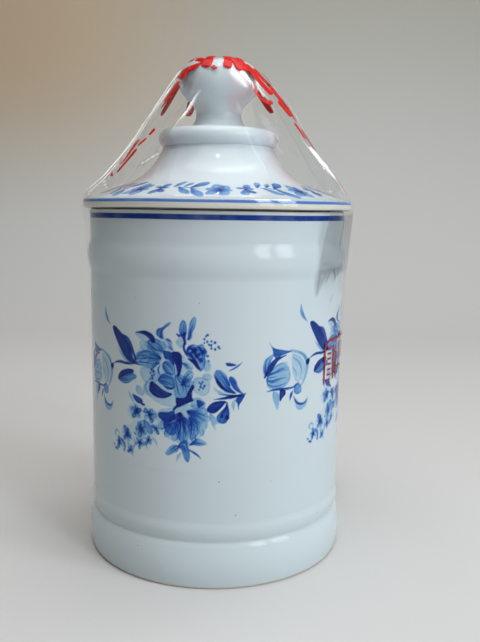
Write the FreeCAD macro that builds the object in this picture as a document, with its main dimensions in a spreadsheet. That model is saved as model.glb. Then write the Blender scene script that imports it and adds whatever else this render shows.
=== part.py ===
import FreeCAD, Part

# Porcelain apothecary jar with a loose lid and a clear tamper hood, as a parametric
# FreeCAD document in millimetres. +Z is up, and the origin is the centre of the foot
# ring's underside, so the jar stands on the plane z = 0.
#
# Pieces, one Body each:
#   jar_body     glazed porcelain vessel: foot ring, rounded base, groove, ridge, wall, bead, lip
#   lid          glazed porcelain lid: spigot, rim, bell, collar and hollow knob, one firing
#   shrink_hood  clear film hood over the lid and the upper wall, drawn as a straight sleeve

import os

import Sketcher

OUT_FOLDER = "parts"
SHEET = "Dimensions"
ON_AXIS = "on_axis"
ON_GROUND = "on_ground"

# Driving dimensions, in millimetres. Heights are above the ground, and rises are above
# the lid's seat on the lip.
DIMENSIONS = {
    # vessel
    "jar_height": 157.0,
    "body_radius": 58.5,
    "wall_thickness": 4.3,
    "floor_top_height": 6.0,
    "floor_corner_round": 8.0,
    "base_foot_radius": 59.3,
    "base_foot_height": 0.9,
    "base_arc_radius": 31.5,
    "base_shoulder_radius": 58.8,
    "base_shoulder_height": 18.2,
    "base_shoulder_round": 4.0,
    "groove_radius": 57.8,
    "groove_height": 20.0,
    "groove_round": 0.9,
    "ridge_arc_radius": 11.0,
    "wall_start_height": 28.0,
    "wall_start_round": 6.0,
    "foot_ring_outer_radius": 58.7,
    "foot_ring_inner_radius": 53.6,
    "foot_recess_radius": 52.0,
    "foot_recess_height": 2.0,
    "bead_height": 136.4,
    "bead_width": 13.0,
    "bead_arc_radius": 18.0,
    "bead_blend_radius": 6.0,
    "lip_outer_round": 1.3,
    "lip_inner_round": 1.2,
    # lid, outside
    "rim_radius": 61.4,
    "rim_thickness": 3.9,
    "rim_lower_round": 1.3,
    "rim_upper_round": 1.6,
    "spigot_clearance": 0.9,
    "spigot_depth": 9.0,
    "spigot_wall": 3.6,
    "spigot_edge_round": 0.9,
    "slope_end_radius": 44.0,
    "slope_end_rise": 10.3,
    "bell_arc_radius": 29.0,
    "neck_radius": 25.3,
    "neck_rise": 27.8,
    "collar_arc_radius": 4.3,
    "collar_top_radius": 24.9,
    "collar_top_rise": 35.4,
    "knob_foot_radius": 13.8,
    "knob_foot_rise": 36.2,
    "knob_foot_arc_radius": 8.4,
    "waist_radius": 10.3,
    "waist_rise": 43.0,
    "waist_arc_radius": 8.0,
    "knob_cone_radius": 13.4,
    "knob_cone_rise": 48.2,
    "knob_side_arc_radius": 10.4,
    "knob_top_radius": 14.8,
    "knob_top_rise": 64.6,
    "knob_top_round": 2.4,
    "crown_rise": 66.0,
    "crown_arc_radius": 79.0,
    # lid, inside
    "lid_wall": 3.8,
    "inner_bell_arc_radius": 33.0,
    "knob_bore_radius": 4.8,
    "knob_bore_top_rise": 45.0,
    "knob_cavity_radius": 10.4,
    "knob_cavity_widest_rise": 54.0,
    "knob_cavity_top_rise": 61.4,
    # film hood
    "film_thickness": 0.25,
    "hood_clearance": 0.4,
    "hood_crown_radius": 14.6,
    "hood_lower_height": 82.0,
}

# Dimensions that follow from the driving ones.
DERIVED = {
    "inner_radius": "body_radius - wall_thickness",
    "bead_lower_height": "bead_height - bead_width / 2",
    "bead_upper_height": "bead_height + bead_width / 2",
    "spigot_outer_radius": "inner_radius - spigot_clearance",
    "spigot_inner_radius": "spigot_outer_radius - spigot_wall",
    "spigot_height": "jar_height - spigot_depth",
    "rim_top_height": "jar_height + rim_thickness",
    "rim_inside_height": "jar_height + rim_thickness / 2",
    "slope_end_height": "jar_height + slope_end_rise",
    "neck_height": "jar_height + neck_rise",
    "collar_top_height": "jar_height + collar_top_rise",
    "knob_foot_height": "jar_height + knob_foot_rise",
    "waist_height": "jar_height + waist_rise",
    "knob_cone_height": "jar_height + knob_cone_rise",
    "knob_top_height": "jar_height + knob_top_rise",
    "crown_height": "jar_height + crown_rise",
    "inner_slope_radius": "slope_end_radius - lid_wall / 2",
    "inner_slope_height": "slope_end_height - lid_wall",
    "inner_neck_radius": "neck_radius - lid_wall",
    "inner_roof_height": "knob_foot_height - lid_wall",
    "knob_bore_top_height": "jar_height + knob_bore_top_rise",
    "knob_cavity_widest_height": "jar_height + knob_cavity_widest_rise",
    "knob_cavity_top_height": "jar_height + knob_cavity_top_rise",
    "hood_radius": "rim_radius + hood_clearance + film_thickness",
    "hood_shoulder_height": "rim_top_height + hood_clearance",
    "hood_crown_height": "crown_height + hood_clearance + film_thickness",
}


def make_sheet(doc):
    """The spreadsheet, with every driving and derived dimension under an alias."""
    sheet = doc.addObject("Spreadsheet::Sheet", SHEET)
    cells = {alias: str(value) for alias, value in DIMENSIONS.items()}
    cells.update({alias: f"={formula}" for alias, formula in DERIVED.items()})
    for row, (alias, content) in enumerate(cells.items(), start=1):
        sheet.set(f"A{row}", alias)
        sheet.set(f"B{row}", content)
        sheet.setAlias(f"B{row}", alias)
    doc.recompute()
    return sheet


class Outline:
    """A closed outline in the XZ plane, with each corner and arc radius bound to the sheet."""

    def __init__(self, body, name):
        """Starts an empty sketch on the body's own XZ plane."""
        self.sheet = body.Document.getObject(SHEET)
        self.sketch = body.newObject("Sketcher::SketchObject", name)
        plane = next(item for item in body.Origin.OriginFeatures if item.Role == "XZ_Plane")
        self.sketch.AttachmentSupport = [(plane, "")]
        self.sketch.MapMode = "FlatFace"
        self.corners = []
        self.arcs = {}

    def corner(self, radius, height):
        """Adds a corner, with a straight line on to the next one."""
        self.corners.append((radius, height))

    def arc_from(self, radius, height, arc_radius, side):
        """Adds a corner with an arc on to the next one. side is +1 where the arc's centre is
        on the left of the way along it and -1 where it is on the right."""
        self.arcs[len(self.corners)] = (arc_radius, side)
        self.corners.append((radius, height))

    def place(self, index):
        """Where a corner is in the sketch."""
        radius, height = self.corners[index % len(self.corners)]
        return FreeCAD.Vector(size_of(self.sheet, radius), size_of(self.sheet, height), 0)

    def draw_side(self, index):
        """Draws the line or arc that leaves a corner. Returns its number in the sketch, and
        which of its ends are the start and the finish of the way along it."""
        start, finish = self.place(index), self.place(index + 1)
        if index not in self.arcs:
            return self.sketch.addGeometry(Part.LineSegment(start, finish), False), 1, 2
        alias, side = self.arcs[index]
        radius = size_of(self.sheet, alias)
        along = finish - start
        left = FreeCAD.Vector(-along.y, along.x, 0).normalize()
        offset = side * (radius**2 - (along.Length / 2) ** 2) ** 0.5
        circle = Part.Circle((start + finish) / 2 + left * offset, FreeCAD.Vector(0, 0, 1), radius)
        first, last = (start, finish) if side > 0 else (finish, start)
        arc = Part.ArcOfCircle(circle, circle.parameter(first), circle.parameter(last))
        number = self.sketch.addGeometry(arc, False)
        return (number, 1, 2) if side > 0 else (number, 2, 1)

    def bind(self, kind, *target, alias):
        """Adds one size to the sketch and binds it to the sheet."""
        constraint = Sketcher.Constraint(kind, *target, size_of(self.sheet, alias))
        number = self.sketch.addConstraint(constraint)
        self.sketch.setExpression(f"Constraints[{number}]", f"{SHEET}.{alias}")

    def pin(self, kind, side, end, alias):
        """Holds one coordinate of a corner on its axis, or at a size from the sheet."""
        if alias in (ON_AXIS, ON_GROUND):
            axis = -2 if alias == ON_AXIS else -1
            self.sketch.addConstraint(Sketcher.Constraint("PointOnObject", side, end, axis))
        else:
            self.bind(kind, -1, 1, side, end, alias=alias)

    def close(self):
        """Draws the sides, joins them into a loop and binds every size. Returns the sketch."""
        sides = [self.draw_side(index) for index in range(len(self.corners))]
        for (side, _, finish), (following, start, _) in zip(sides, sides[1:] + sides[:1]):
            joint = Sketcher.Constraint("Coincident", side, finish, following, start)
            self.sketch.addConstraint(joint)
        for (radius, height), (side, start, _) in zip(self.corners, sides):
            self.pin("DistanceX", side, start, radius)
            self.pin("DistanceY", side, start, height)
        for index, (alias, _) in self.arcs.items():
            self.bind("Radius", sides[index][0], alias=alias)
        return self.sketch


def size_of(sheet, alias):
    """The size in the sheet under that alias, or nought on the axis or the ground."""
    return 0.0 if alias in (ON_AXIS, ON_GROUND) else float(getattr(sheet, alias))


def new_body(doc, name, label):
    """An empty Body at the origin, with the label its STEP file is named after."""
    body = doc.addObject("PartDesign::Body", name)
    body.Label = label
    body.Placement = FreeCAD.Placement()
    return body


def revolve(body, sketch, name):
    """Turns an outline round the body's Z axis into a solid."""
    body.Document.recompute()
    feature = body.newObject("PartDesign::Revolution", name)
    feature.Profile = sketch
    feature.ReferenceAxis = (sketch, ["V_Axis"])
    feature.Angle = 360
    sketch.Visibility = False
    body.Document.recompute()
    return feature


def ring_edges(sheet, shape, radius, height):
    """The names of the circular edges that lie at that radius and height."""
    place = FreeCAD.Vector(size_of(sheet, radius), 0, size_of(sheet, height))
    names = []
    for number, edge in enumerate(shape.Edges, start=1):
        if edge.Degenerated or not isinstance(edge.Curve, Part.Circle):
            continue
        level = abs(edge.Curve.Axis.z) > 0.99
        ring = FreeCAD.Vector(edge.Curve.Radius, 0, edge.Curve.Center.z)
        if level and ring.distanceToPoint(place) < 0.05:
            names.append(f"Edge{number}")
    if not names:
        raise RuntimeError(f"no ring edge at {radius}, {height}")
    return names


def round_rings(body, base, rounds):
    """Fillets rings one at a time. rounds lists (radius, height, fillet size)."""
    sheet = body.Document.getObject(SHEET)
    for radius, height, size in rounds:
        fillet = body.newObject("PartDesign::Fillet", f"{body.Name}Round")
        fillet.Base = (base, ring_edges(sheet, base.Shape, radius, height))
        fillet.setExpression("Radius", f"{SHEET}.{size}")
        body.Document.recompute()
        base = fillet


def make_jar_body(doc):
    """The vessel, turned from one outline, with its edges rounded as glaze rounds them."""
    body = new_body(doc, "JarBody", "jar_body")
    outline = Outline(body, "JarOutline")
    outline.corner(ON_AXIS, "foot_recess_height")
    outline.corner("foot_recess_radius", "foot_recess_height")
    outline.corner("foot_ring_inner_radius", ON_GROUND)
    outline.corner("foot_ring_outer_radius", ON_GROUND)
    outline.arc_from("base_foot_radius", "base_foot_height", "base_arc_radius", +1)
    outline.corner("base_shoulder_radius", "base_shoulder_height")
    outline.arc_from("groove_radius", "groove_height", "ridge_arc_radius", +1)
    outline.corner("body_radius", "wall_start_height")
    outline.arc_from("body_radius", "bead_lower_height", "bead_arc_radius", +1)
    outline.corner("body_radius", "bead_upper_height")
    outline.corner("body_radius", "jar_height")
    outline.corner("inner_radius", "jar_height")
    outline.corner("inner_radius", "floor_top_height")
    outline.corner(ON_AXIS, "floor_top_height")
    turned = revolve(body, outline.close(), "JarTurned")
    rounds = [
        ("inner_radius", "floor_top_height", "floor_corner_round"),
        ("inner_radius", "jar_height", "lip_inner_round"),
        ("body_radius", "jar_height", "lip_outer_round"),
        ("body_radius", "bead_upper_height", "bead_blend_radius"),
        ("body_radius", "bead_lower_height", "bead_blend_radius"),
        ("body_radius", "wall_start_height", "wall_start_round"),
        ("groove_radius", "groove_height", "groove_round"),
        ("base_shoulder_radius", "base_shoulder_height", "base_shoulder_round"),
    ]
    round_rings(body, turned, rounds)
    return body


def make_lid(doc):
    """The lid, hollow through its neck and knob as it leaves the casting mould."""
    body = new_body(doc, "Lid", "lid")
    outline = Outline(body, "LidOutline")
    # outside, from the spigot's foot up to the knob's crown
    outline.corner("spigot_inner_radius", "spigot_height")
    outline.corner("spigot_outer_radius", "spigot_height")
    outline.corner("spigot_outer_radius", "jar_height")
    outline.corner("rim_radius", "jar_height")
    outline.corner("rim_radius", "rim_top_height")
    outline.arc_from("slope_end_radius", "slope_end_height", "bell_arc_radius", -1)
    outline.arc_from("neck_radius", "neck_height", "collar_arc_radius", +1)
    outline.corner("collar_top_radius", "collar_top_height")
    outline.arc_from("knob_foot_radius", "knob_foot_height", "knob_foot_arc_radius", -1)
    outline.arc_from("waist_radius", "waist_height", "waist_arc_radius", -1)
    outline.arc_from("knob_cone_radius", "knob_cone_height", "knob_side_arc_radius", +1)
    outline.arc_from("knob_top_radius", "knob_top_height", "crown_arc_radius", +1)
    outline.corner(ON_AXIS, "crown_height")
    # inside, from the knob's cavity back down to the spigot
    outline.corner(ON_AXIS, "knob_cavity_top_height")
    outline.corner("knob_cavity_radius", "knob_cavity_widest_height")
    outline.corner("knob_bore_radius", "knob_bore_top_height")
    outline.corner("knob_bore_radius", "inner_roof_height")
    outline.arc_from("inner_neck_radius", "neck_height", "inner_bell_arc_radius", +1)
    outline.corner("inner_slope_radius", "inner_slope_height")
    outline.corner("spigot_inner_radius", "rim_inside_height")
    turned = revolve(body, outline.close(), "LidTurned")
    rounds = [
        ("rim_radius", "jar_height", "rim_lower_round"),
        ("rim_radius", "rim_top_height", "rim_upper_round"),
        ("spigot_outer_radius", "spigot_height", "spigot_edge_round"),
        ("knob_top_radius", "knob_top_height", "knob_top_round"),
    ]
    round_rings(body, turned, rounds)
    return body


def make_shrink_hood(doc):
    """The film hood: a crown, a cone and a sleeve, hollowed from below to the film."""
    body = new_body(doc, "ShrinkHood", "shrink_hood")
    outline = Outline(body, "HoodOutline")
    outline.corner(ON_AXIS, "hood_lower_height")
    outline.corner("hood_radius", "hood_lower_height")
    outline.corner("hood_radius", "hood_shoulder_height")
    outline.corner("hood_crown_radius", "hood_crown_height")
    outline.corner(ON_AXIS, "hood_crown_height")
    turned = revolve(body, outline.close(), "HoodTurned")
    faces = turned.Shape.Faces
    lowest = min(range(len(faces)), key=lambda index: faces[index].CenterOfMass.z)
    hollow = body.newObject("PartDesign::Thickness", "HoodFilm")
    hollow.Base = (turned, [f"Face{lowest + 1}"])
    hollow.Reversed = True
    hollow.Join = "Intersection"
    hollow.setExpression("Value", f"{SHEET}.film_thickness")
    return body


def check(doc, bodies):
    """Stops the build if any object failed, or if a piece isn't one valid solid."""
    for item in doc.Objects:
        if "Invalid" in item.State or "Error" in item.State:
            raise RuntimeError(f"{item.Name} failed: {item.State}")
        if item.TypeId == "Sketcher::SketchObject" and item.solve() != 0:
            raise RuntimeError(f"{item.Name} can't be solved")
    for body in bodies:
        shape = body.Shape
        if shape.isNull() or not shape.isValid() or len(shape.Solids) != 1:
            raise RuntimeError(f"{body.Label} isn't one valid solid")
        box = shape.optimalBoundingBox()
        size = f"{box.XLength:.1f} x {box.YLength:.1f} x {box.ZLength:.1f} mm"
        print(f"{body.Label}: {size}, {shape.Volume / 1000:.1f} cm3")


def main():
    """Builds the document and writes one STEP file for each piece."""
    doc = FreeCAD.newDocument("ApothecaryJar")
    make_sheet(doc)
    bodies = [make_jar_body(doc), make_lid(doc), make_shrink_hood(doc)]
    doc.recompute()
    check(doc, bodies)
    os.makedirs(OUT_FOLDER, exist_ok=True)
    for body in bodies:
        body.Shape.exportStep(os.path.join(OUT_FOLDER, f"{body.Label}.step"))


main()
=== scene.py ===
"""Looks of a porcelain apothecary jar: glaze, blue flower painting, clear film hood and red print.

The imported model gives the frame: jar body, lid and hood. The porcelain nodes stay and get a glaze,
the painting is laid on them as thin painted skins, and a creased film replaces the plain hood.

Lengths in the drawings are millimetres: arc from the jar's front line, and height above its foot.
Every mesh is built in metres. Azimuth is nought at the front, -Y, and grows towards +X.
"""

import logging
import math
from collections.abc import Mapping, Sequence
from dataclasses import dataclass, field
from enum import Enum
from typing import Any

import bpy
import numpy as np
from bpy.types import Material, Mesh, Node, NodeSocket, NodeTree, Object
from mathutils import Matrix, Vector
from mathutils.bvhtree import BVHTree


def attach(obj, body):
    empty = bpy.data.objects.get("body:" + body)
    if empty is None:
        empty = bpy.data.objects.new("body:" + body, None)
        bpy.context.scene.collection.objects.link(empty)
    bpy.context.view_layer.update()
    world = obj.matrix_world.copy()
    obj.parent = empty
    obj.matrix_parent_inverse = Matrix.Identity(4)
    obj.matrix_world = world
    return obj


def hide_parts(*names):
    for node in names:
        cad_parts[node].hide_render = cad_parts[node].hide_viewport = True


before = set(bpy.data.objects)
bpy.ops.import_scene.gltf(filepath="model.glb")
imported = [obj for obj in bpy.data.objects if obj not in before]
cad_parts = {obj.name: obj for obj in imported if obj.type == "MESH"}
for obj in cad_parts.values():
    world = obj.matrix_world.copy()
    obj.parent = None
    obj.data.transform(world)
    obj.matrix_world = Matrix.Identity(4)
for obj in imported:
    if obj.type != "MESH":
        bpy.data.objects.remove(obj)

LOG = logging.getLogger("apothecary_jar")
MM = 0.001
OUTSIDE = 0.2
CLOUD_CELLS = 64
CLOUD_SHIFT = 100.0
INK_ATTRIBUTE = "ink"
PAINTED_LIGHT_ATTRIBUTE = "painted_light"
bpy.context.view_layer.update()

Point = tuple[float, float]
Colour = tuple[float, float, float]
Array = np.ndarray


# ---------------------------------------------------------------------------- shader graphs


class Signal:
    """A shader value that takes part in ordinary arithmetic."""

    def __init__(self, graph: "Graph", socket: NodeSocket) -> None:
        """Wraps an output socket of a graph."""
        self.graph = graph
        self.socket = socket

    def _math(self, operation: str, *values: "Signal | float") -> "Signal":
        """Adds a Math node on these values."""
        return self.graph.value("ShaderNodeMath", {"operation": operation}, dict(enumerate(values)))

    def __add__(self, other: "Signal | float") -> "Signal":
        """self + other."""
        return self._math("ADD", self, other)

    def __radd__(self, other: float) -> "Signal":
        """other + self."""
        return self._math("ADD", other, self)

    def __sub__(self, other: "Signal | float") -> "Signal":
        """self - other."""
        return self._math("SUBTRACT", self, other)

    def __rsub__(self, other: float) -> "Signal":
        """other - self."""
        return self._math("SUBTRACT", other, self)

    def __truediv__(self, other: "Signal | float") -> "Signal":
        """self / other."""
        return self._math("DIVIDE", self, other)

    def __rtruediv__(self, other: float) -> "Signal":
        """other / self."""
        return self._math("DIVIDE", other, self)

    def __mul__(self, other: "Signal | float") -> "Signal":
        """self * other."""
        return self._math("MULTIPLY", self, other)

    def __rmul__(self, other: float) -> "Signal":
        """other * self."""
        return self._math("MULTIPLY", other, self)

    def __pow__(self, other: float) -> "Signal":
        """self to the power of other."""
        return self._math("POWER", self, other)

    def __rpow__(self, other: float) -> "Signal":
        """other to the power of self."""
        return self._math("POWER", other, self)

    def clamped(self) -> "Signal":
        """The value held between nought and one."""
        return self.graph.value("ShaderNodeClamp", {}, {"Value": self})

    def step_up(self, low: float, high: float) -> "Signal":
        """Nought below low, one above high, and smooth between."""
        sizes = {"Value": self, "From Min": low, "From Max": high}
        return self.graph.value("ShaderNodeMapRange", {"interpolation_type": "SMOOTHSTEP"}, sizes)


class Tree:
    """A node tree that is built one node at a time."""

    tree: NodeTree

    def node(
        self, kind: str, settings: Mapping[str, Any], inputs: Mapping[str | int, Any]
    ) -> Node:
        """Adds a node of any kind.

        Args:
            kind: The node's type.
            settings: Its properties, set before its sockets.
            inputs: Values, Signals or sockets, by socket name or number.

        Returns:
            The node.
        """
        made = self.tree.nodes.new(kind)
        for key, setting in settings.items():
            setattr(made, key, setting)
        for key, given in inputs.items():
            socket = made.inputs[key]
            source = given.socket if isinstance(given, Signal) else given
            if isinstance(source, NodeSocket):
                self.tree.links.new(source, socket)
            else:
                socket.default_value = source
        return made


class Graph(Tree):
    """The node tree of one material."""

    def __init__(self, name: str) -> None:
        """Makes a material with an empty tree.

        Args:
            name: The material's name.
        """
        self.material = bpy.data.materials.new(name)
        self.material.use_nodes = True
        self.tree = self.material.node_tree
        self.tree.nodes.clear()
        self.output = self.node("ShaderNodeOutputMaterial", {}, {})

    def value(
        self,
        kind: str,
        settings: Mapping[str, Any],
        inputs: Mapping[str | int, Any],
        output: str | int = 0,
    ) -> Signal:
        """Adds a node and gives one of its outputs as a Signal."""
        return Signal(self, self.node(kind, settings, inputs).outputs[output])

    def noise(self, place: Signal, scale: float, detail: float = 2.0, rough: float = 0.5) -> Signal:
        """Fractal noise around one half, on a position in metres."""
        inputs = {"Vector": place, "Scale": scale, "Detail": detail, "Roughness": rough}
        return self.value("ShaderNodeTexNoise", {}, inputs)

    def mixed(self, share: Signal | float, first: Any, second: Any) -> Signal:
        """A colour between two, by share. Each is a Signal, or a colour with alpha."""
        inputs = {0: share, 6: first, 7: second}
        return self.value("ShaderNodeMix", {"data_type": "RGBA"}, inputs, 2)

    def place(self) -> Signal:
        """The position in the object, in metres."""
        return self.value("ShaderNodeTexCoord", {}, {}, "Object")

    def attribute(self, name: str) -> Signal:
        """A colour that the mesh stores."""
        return self.value("ShaderNodeAttribute", {"attribute_name": name}, {}, "Color")

    def parts(self, kind: str, whole: Signal) -> list[Signal]:
        """The three parts of a position or a colour, split by that kind of node."""
        outputs = self.node(kind, {}, {0: whole}).outputs
        return [Signal(self, outputs[number]) for number in range(3)]

    def bump(self, strength: float, depth: float, relief: Signal) -> Signal:
        """The normal of a relief, whose depth is in millimetres."""
        inputs = {"Strength": strength, "Distance": depth * MM, "Height": relief}
        return self.value("ShaderNodeBump", {}, inputs)

    def principled(self, inputs: Mapping[str, Any]) -> Node:
        """The general shader."""
        return self.node("ShaderNodeBsdfPrincipled", {}, inputs)

    def surface(self, shader: Node) -> Material:
        """Ends the tree in a shader node and returns the material."""
        self.tree.links.new(shader.outputs[0], self.output.inputs["Surface"])
        return self.material


def rgba(colour: Colour) -> tuple[float, float, float, float]:
    """A colour with full alpha."""
    return (*colour, 1.0)


# ---------------------------------------------------------------------------------- finishes


@dataclass(frozen=True)
class GlazeLine:
    """A line round a turned piece, in millimetres: a painted band, or the painted shadow in a joint.
    """

    low: float
    high: float
    inner_radius: float
    colour: Colour
    strength: float


@dataclass(frozen=True)
class Glaze:
    """Bluish white porcelain under a clear glaze, with painting below the glaze."""

    name: str
    lines: tuple[GlazeLine, ...]
    tone: Colour = (0.62, 0.69, 0.727)
    cast: Colour = (0.573, 0.657, 0.69)
    # cream of the rims: a painted reflection of the room, partly the glaze's own colour
    warm_reflection: Colour = (0.76, 0.735, 0.655)
    biscuit: Colour = (0.58, 0.55, 0.49)
    # pink of the painted reflection of the red print
    rose: Colour = (0.66, 0.50, 0.53)
    print_reflection: float = 0.0
    roughness: float = 0.085
    foot_height: float = 1.3
    warm_reflection_low: float = 155.6
    warm_reflection_high: float = 159.7
    line_softness: float = 0.35
    ior: float = 1.52
    shine: float = 0.22
    relief_strength: float = 0.35
    relief_depth: float = 0.25

    def material(self) -> Material:
        """Builds the glaze.

        Returns:
            A material that reads Object coordinates and the ink attribute.
        """
        graph = Graph(self.name)
        place = graph.place()
        across, along, height = graph.parts("ShaderNodeSeparateXYZ", place)
        radius = (across * across + along * along) ** 0.5
        wobble = (graph.noise(place, 26.0) - 0.5) * (0.5 * MM)
        cloud = graph.noise(place, 9.0, 3.0)
        colour = graph.mixed(cloud.step_up(0.3, 0.7), rgba(self.tone), rgba(self.cast))
        # painted reflection of the room on the rims, partly the glaze's own cream
        warm_reflection_share = self.between(height, self.warm_reflection_low, self.warm_reflection_high, 1.2)
        colour = graph.mixed(warm_reflection_share * radius.step_up(57 * MM, 60 * MM), colour, rgba(self.warm_reflection))
        for line in self.lines:
            brushed = graph.noise(place, 90.0, 3.0).step_up(0.2, 0.6) * 0.14 + 0.86
            mask = self.between(height + wobble, line.low, line.high, self.line_softness)
            outside = radius.step_up((line.inner_radius - 0.3) * MM, line.inner_radius * MM)
            colour = graph.mixed(mask * outside * brushed * line.strength, colour, rgba(line.colour))
        # painted pink reflection of the red print on the lid's flanks and on the knob's right side
        if self.print_reflection:
            spread = across / radius
            bell = self.between(height, 163.0, 190.0, 6.0)
            flank = (spread * spread).step_up(0.45, 0.85) * bell
            knob = spread.step_up(0.0, 0.7) * height.step_up(196 * MM, 206 * MM)
            patches = graph.noise(place, 70.0, 2.0).step_up(0.35, 0.6) * 0.7 + 0.3
            print_reflection_share = (flank + knob).clamped() * patches * self.print_reflection
            colour = graph.mixed(print_reflection_share, colour, rgba(self.rose))
        light = {0: (1.0, 1.0, 1.0), 1: graph.attribute(INK_ATTRIBUTE)}
        clear = graph.value("ShaderNodeVectorMath", {"operation": "SUBTRACT"}, light)
        colour = graph.value("ShaderNodeVectorMath", {"operation": "MULTIPLY"}, {0: colour, 1: clear})
        bare = 1 - height.step_up((self.foot_height - 0.5) * MM, self.foot_height * MM)
        colour = graph.mixed(bare, colour, rgba(self.biscuit))
        rough = self.roughness + graph.noise(place, 60.0) * 0.05 + bare * 0.5
        waves = graph.noise(place, 45.0, 1.0)
        peel = graph.noise(place, 900.0, 2.0)
        relief = waves * 0.75 + peel * 0.02 + graph.noise(place, 5000.0) * bare * 0.2
        inputs = {
            "Base Color": colour,
            "Roughness": rough,
            "IOR": self.ior,
            "Specular IOR Level": self.shine,
            "Normal": graph.bump(self.relief_strength, self.relief_depth, relief),
        }
        return graph.surface(graph.principled(inputs))

    @staticmethod
    def between(height: Signal, low: float, high: float, soft: float) -> Signal:
        """One between two heights, with soft edges.

        Args:
            height: The height, in metres.
            low: The lower height, in millimetres.
            high: The upper height, in millimetres.
            soft: How wide each edge is, in millimetres.

        Returns:
            The mask.
        """
        rise = height.step_up((low - soft / 2) * MM, (low + soft / 2) * MM)
        fall = height.step_up((high - soft / 2) * MM, (high + soft / 2) * MM)
        return rise * (1 - fall)


@dataclass(frozen=True)
class ClearFilm:
    """Glossy clear film. Its painted_light attribute holds painted glints, partly the whitening of
    creased film, and painted shade where the film lies double and along its wrinkles.
    """

    name: str = "clear_film"
    white: Colour = (0.93, 0.95, 0.97)
    # near-black colour of the painted shade
    shade: Colour = (0.03, 0.035, 0.04)
    clear: Colour = (0.996, 0.997, 0.998)
    gloss: float = 0.05
    # the film emits light at its painted glints
    glint_glow: float = 0.6
    facing_cover: float = 0.008
    glancing_cover: float = 0.36
    glint_cover: float = 0.85
    shade_cover: float = 0.135
    ripple_strength: float = 0.25
    ripple_depth: float = 0.2

    def material(self) -> Material:
        """Builds the film: transparent, mixed with a mirror at glancing angles, with painted glints
        and with painted shade.

        Returns:
            A material that reads the painted_light attribute.
        """
        graph = Graph(self.name)
        facing = graph.value("ShaderNodeLayerWeight", {}, {"Blend": 0.5}, "Facing")
        glance = self.facing_cover + self.glancing_cover * facing**5
        marks = graph.attribute(PAINTED_LIGHT_ATTRIBUTE)
        # red: painted glints, partly whitening of creased film; green: painted shade; blue: where the
        # film clings to the wall
        painted_light, fold_shade, clinging = graph.parts("ShaderNodeSeparateColor", marks)
        glint_share = painted_light * self.glint_cover
        cover = (glance * (1 - clinging * 0.7) + glint_share + fold_shade * self.shade_cover).clamped()
        place = graph.place()
        ripple = graph.noise(place, 260.0, 2.0)
        inputs = {
            "Base Color": graph.mixed(fold_shade, rgba(self.white), rgba(self.shade)),
            "Metallic": (1 - painted_light * 1.2 - fold_shade).clamped(),
            "Roughness": self.gloss + painted_light * 0.3 + fold_shade * 0.1,
            # painted glints emit light
            "Emission Color": graph.mixed(painted_light**2.0, rgba((0, 0, 0)), rgba(self.white)),
            "Emission Strength": self.glint_glow,
            "Normal": graph.bump(self.ripple_strength, self.ripple_depth, ripple),
        }
        shader = graph.principled(inputs)
        clear = graph.node("ShaderNodeBsdfTransparent", {}, {"Color": rgba(self.clear)})
        both = {0: cover, 1: clear.outputs[0], 2: shader.outputs[0]}
        return graph.surface(graph.node("ShaderNodeMixShader", {}, both))


@dataclass(frozen=True)
class FilmInk:
    """Red printing ink on film."""

    name: str = "red_film_ink"
    red: Colour = (0.66, 0.008, 0.006)
    thin: Colour = (0.48, 0.010, 0.010)
    wall: Colour = (0.36, 0.006, 0.014)
    wall_height: float = 110.0
    cone_height: float = 160.0
    shine: float = 0.2

    def material(self) -> Material:
        """Builds the ink: uneven, and deeper where it lies close on the jar's wall.

        Returns:
            The material.
        """
        graph = Graph(self.name)
        place = graph.place()
        height = graph.parts("ShaderNodeSeparateXYZ", place)[2]
        uneven = graph.noise(place, 420.0, 3.0)
        bright = graph.mixed(uneven.step_up(0.45, 0.75), rgba(self.red), rgba(self.thin))
        lifted = height.step_up(self.wall_height * MM, self.cone_height * MM)
        colour = graph.mixed(lifted, rgba(self.wall), bright)
        rough = 0.25 + uneven * 0.2
        inputs = {"Base Color": colour, "Roughness": rough, "Specular IOR Level": self.shine}
        return graph.surface(graph.principled(inputs))


@dataclass(frozen=True)
class IronSpeck:
    """A brown iron speck under clear glaze."""

    name: str = "iron_speck"
    dark: Colour = (0.035, 0.030, 0.030)
    rust: Colour = (0.16, 0.10, 0.07)

    def material(self) -> Material:
        """Builds the speck, mottled with rust.

        Returns:
            The material.
        """
        graph = Graph(self.name)
        place = graph.place()
        mottle = graph.noise(place, 3000.0).step_up(0.4, 0.7)
        colour = graph.mixed(mottle, rgba(self.dark), rgba(self.rust))
        inputs = {"Base Color": colour, "Roughness": 0.12 + mottle * 0.1}
        return graph.surface(graph.principled(inputs))


@dataclass(frozen=True)
class Backdrop:
    """Matt studio paper, with painted shade up the back and painted amber light at the upper left."""

    name: str = "studio_paper"
    near: Colour = (0.63, 0.63, 0.63)
    far: Colour = (0.33, 0.32, 0.265)
    warm_corner_light: Colour = (0.52, 0.40, 0.27)
    roughness: float = 0.65

    def material(self) -> Material:
        """Builds the paper, paler on the floor than up the back as painted shade, and warmer at the
        upper left as painted amber light.

        Returns:
            The material.
        """
        graph = Graph(self.name)
        place = graph.place()
        parts = graph.parts("ShaderNodeSeparateXYZ", place)
        across, height = parts[0], parts[2]
        # painted shade: the paper darkens up the back
        rise = height.step_up(-0.05, 0.9)
        fleck = graph.noise(place, 500.0, 2.0) * 0.06 - 0.03
        colour = graph.mixed((rise + fleck).clamped(), rgba(self.near), rgba(self.far))
        # painted amber light on the paper at the upper left
        warm_corner_light = (0.1 - across).step_up(0.0, 0.55) * height.step_up(0.1, 0.5)
        colour = graph.mixed(warm_corner_light, colour, rgba(self.warm_corner_light))
        inputs = {"Base Color": colour, "Roughness": self.roughness}
        return graph.surface(graph.principled(inputs))


# ---------------------------------------------------------------------------------- meshes


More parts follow.
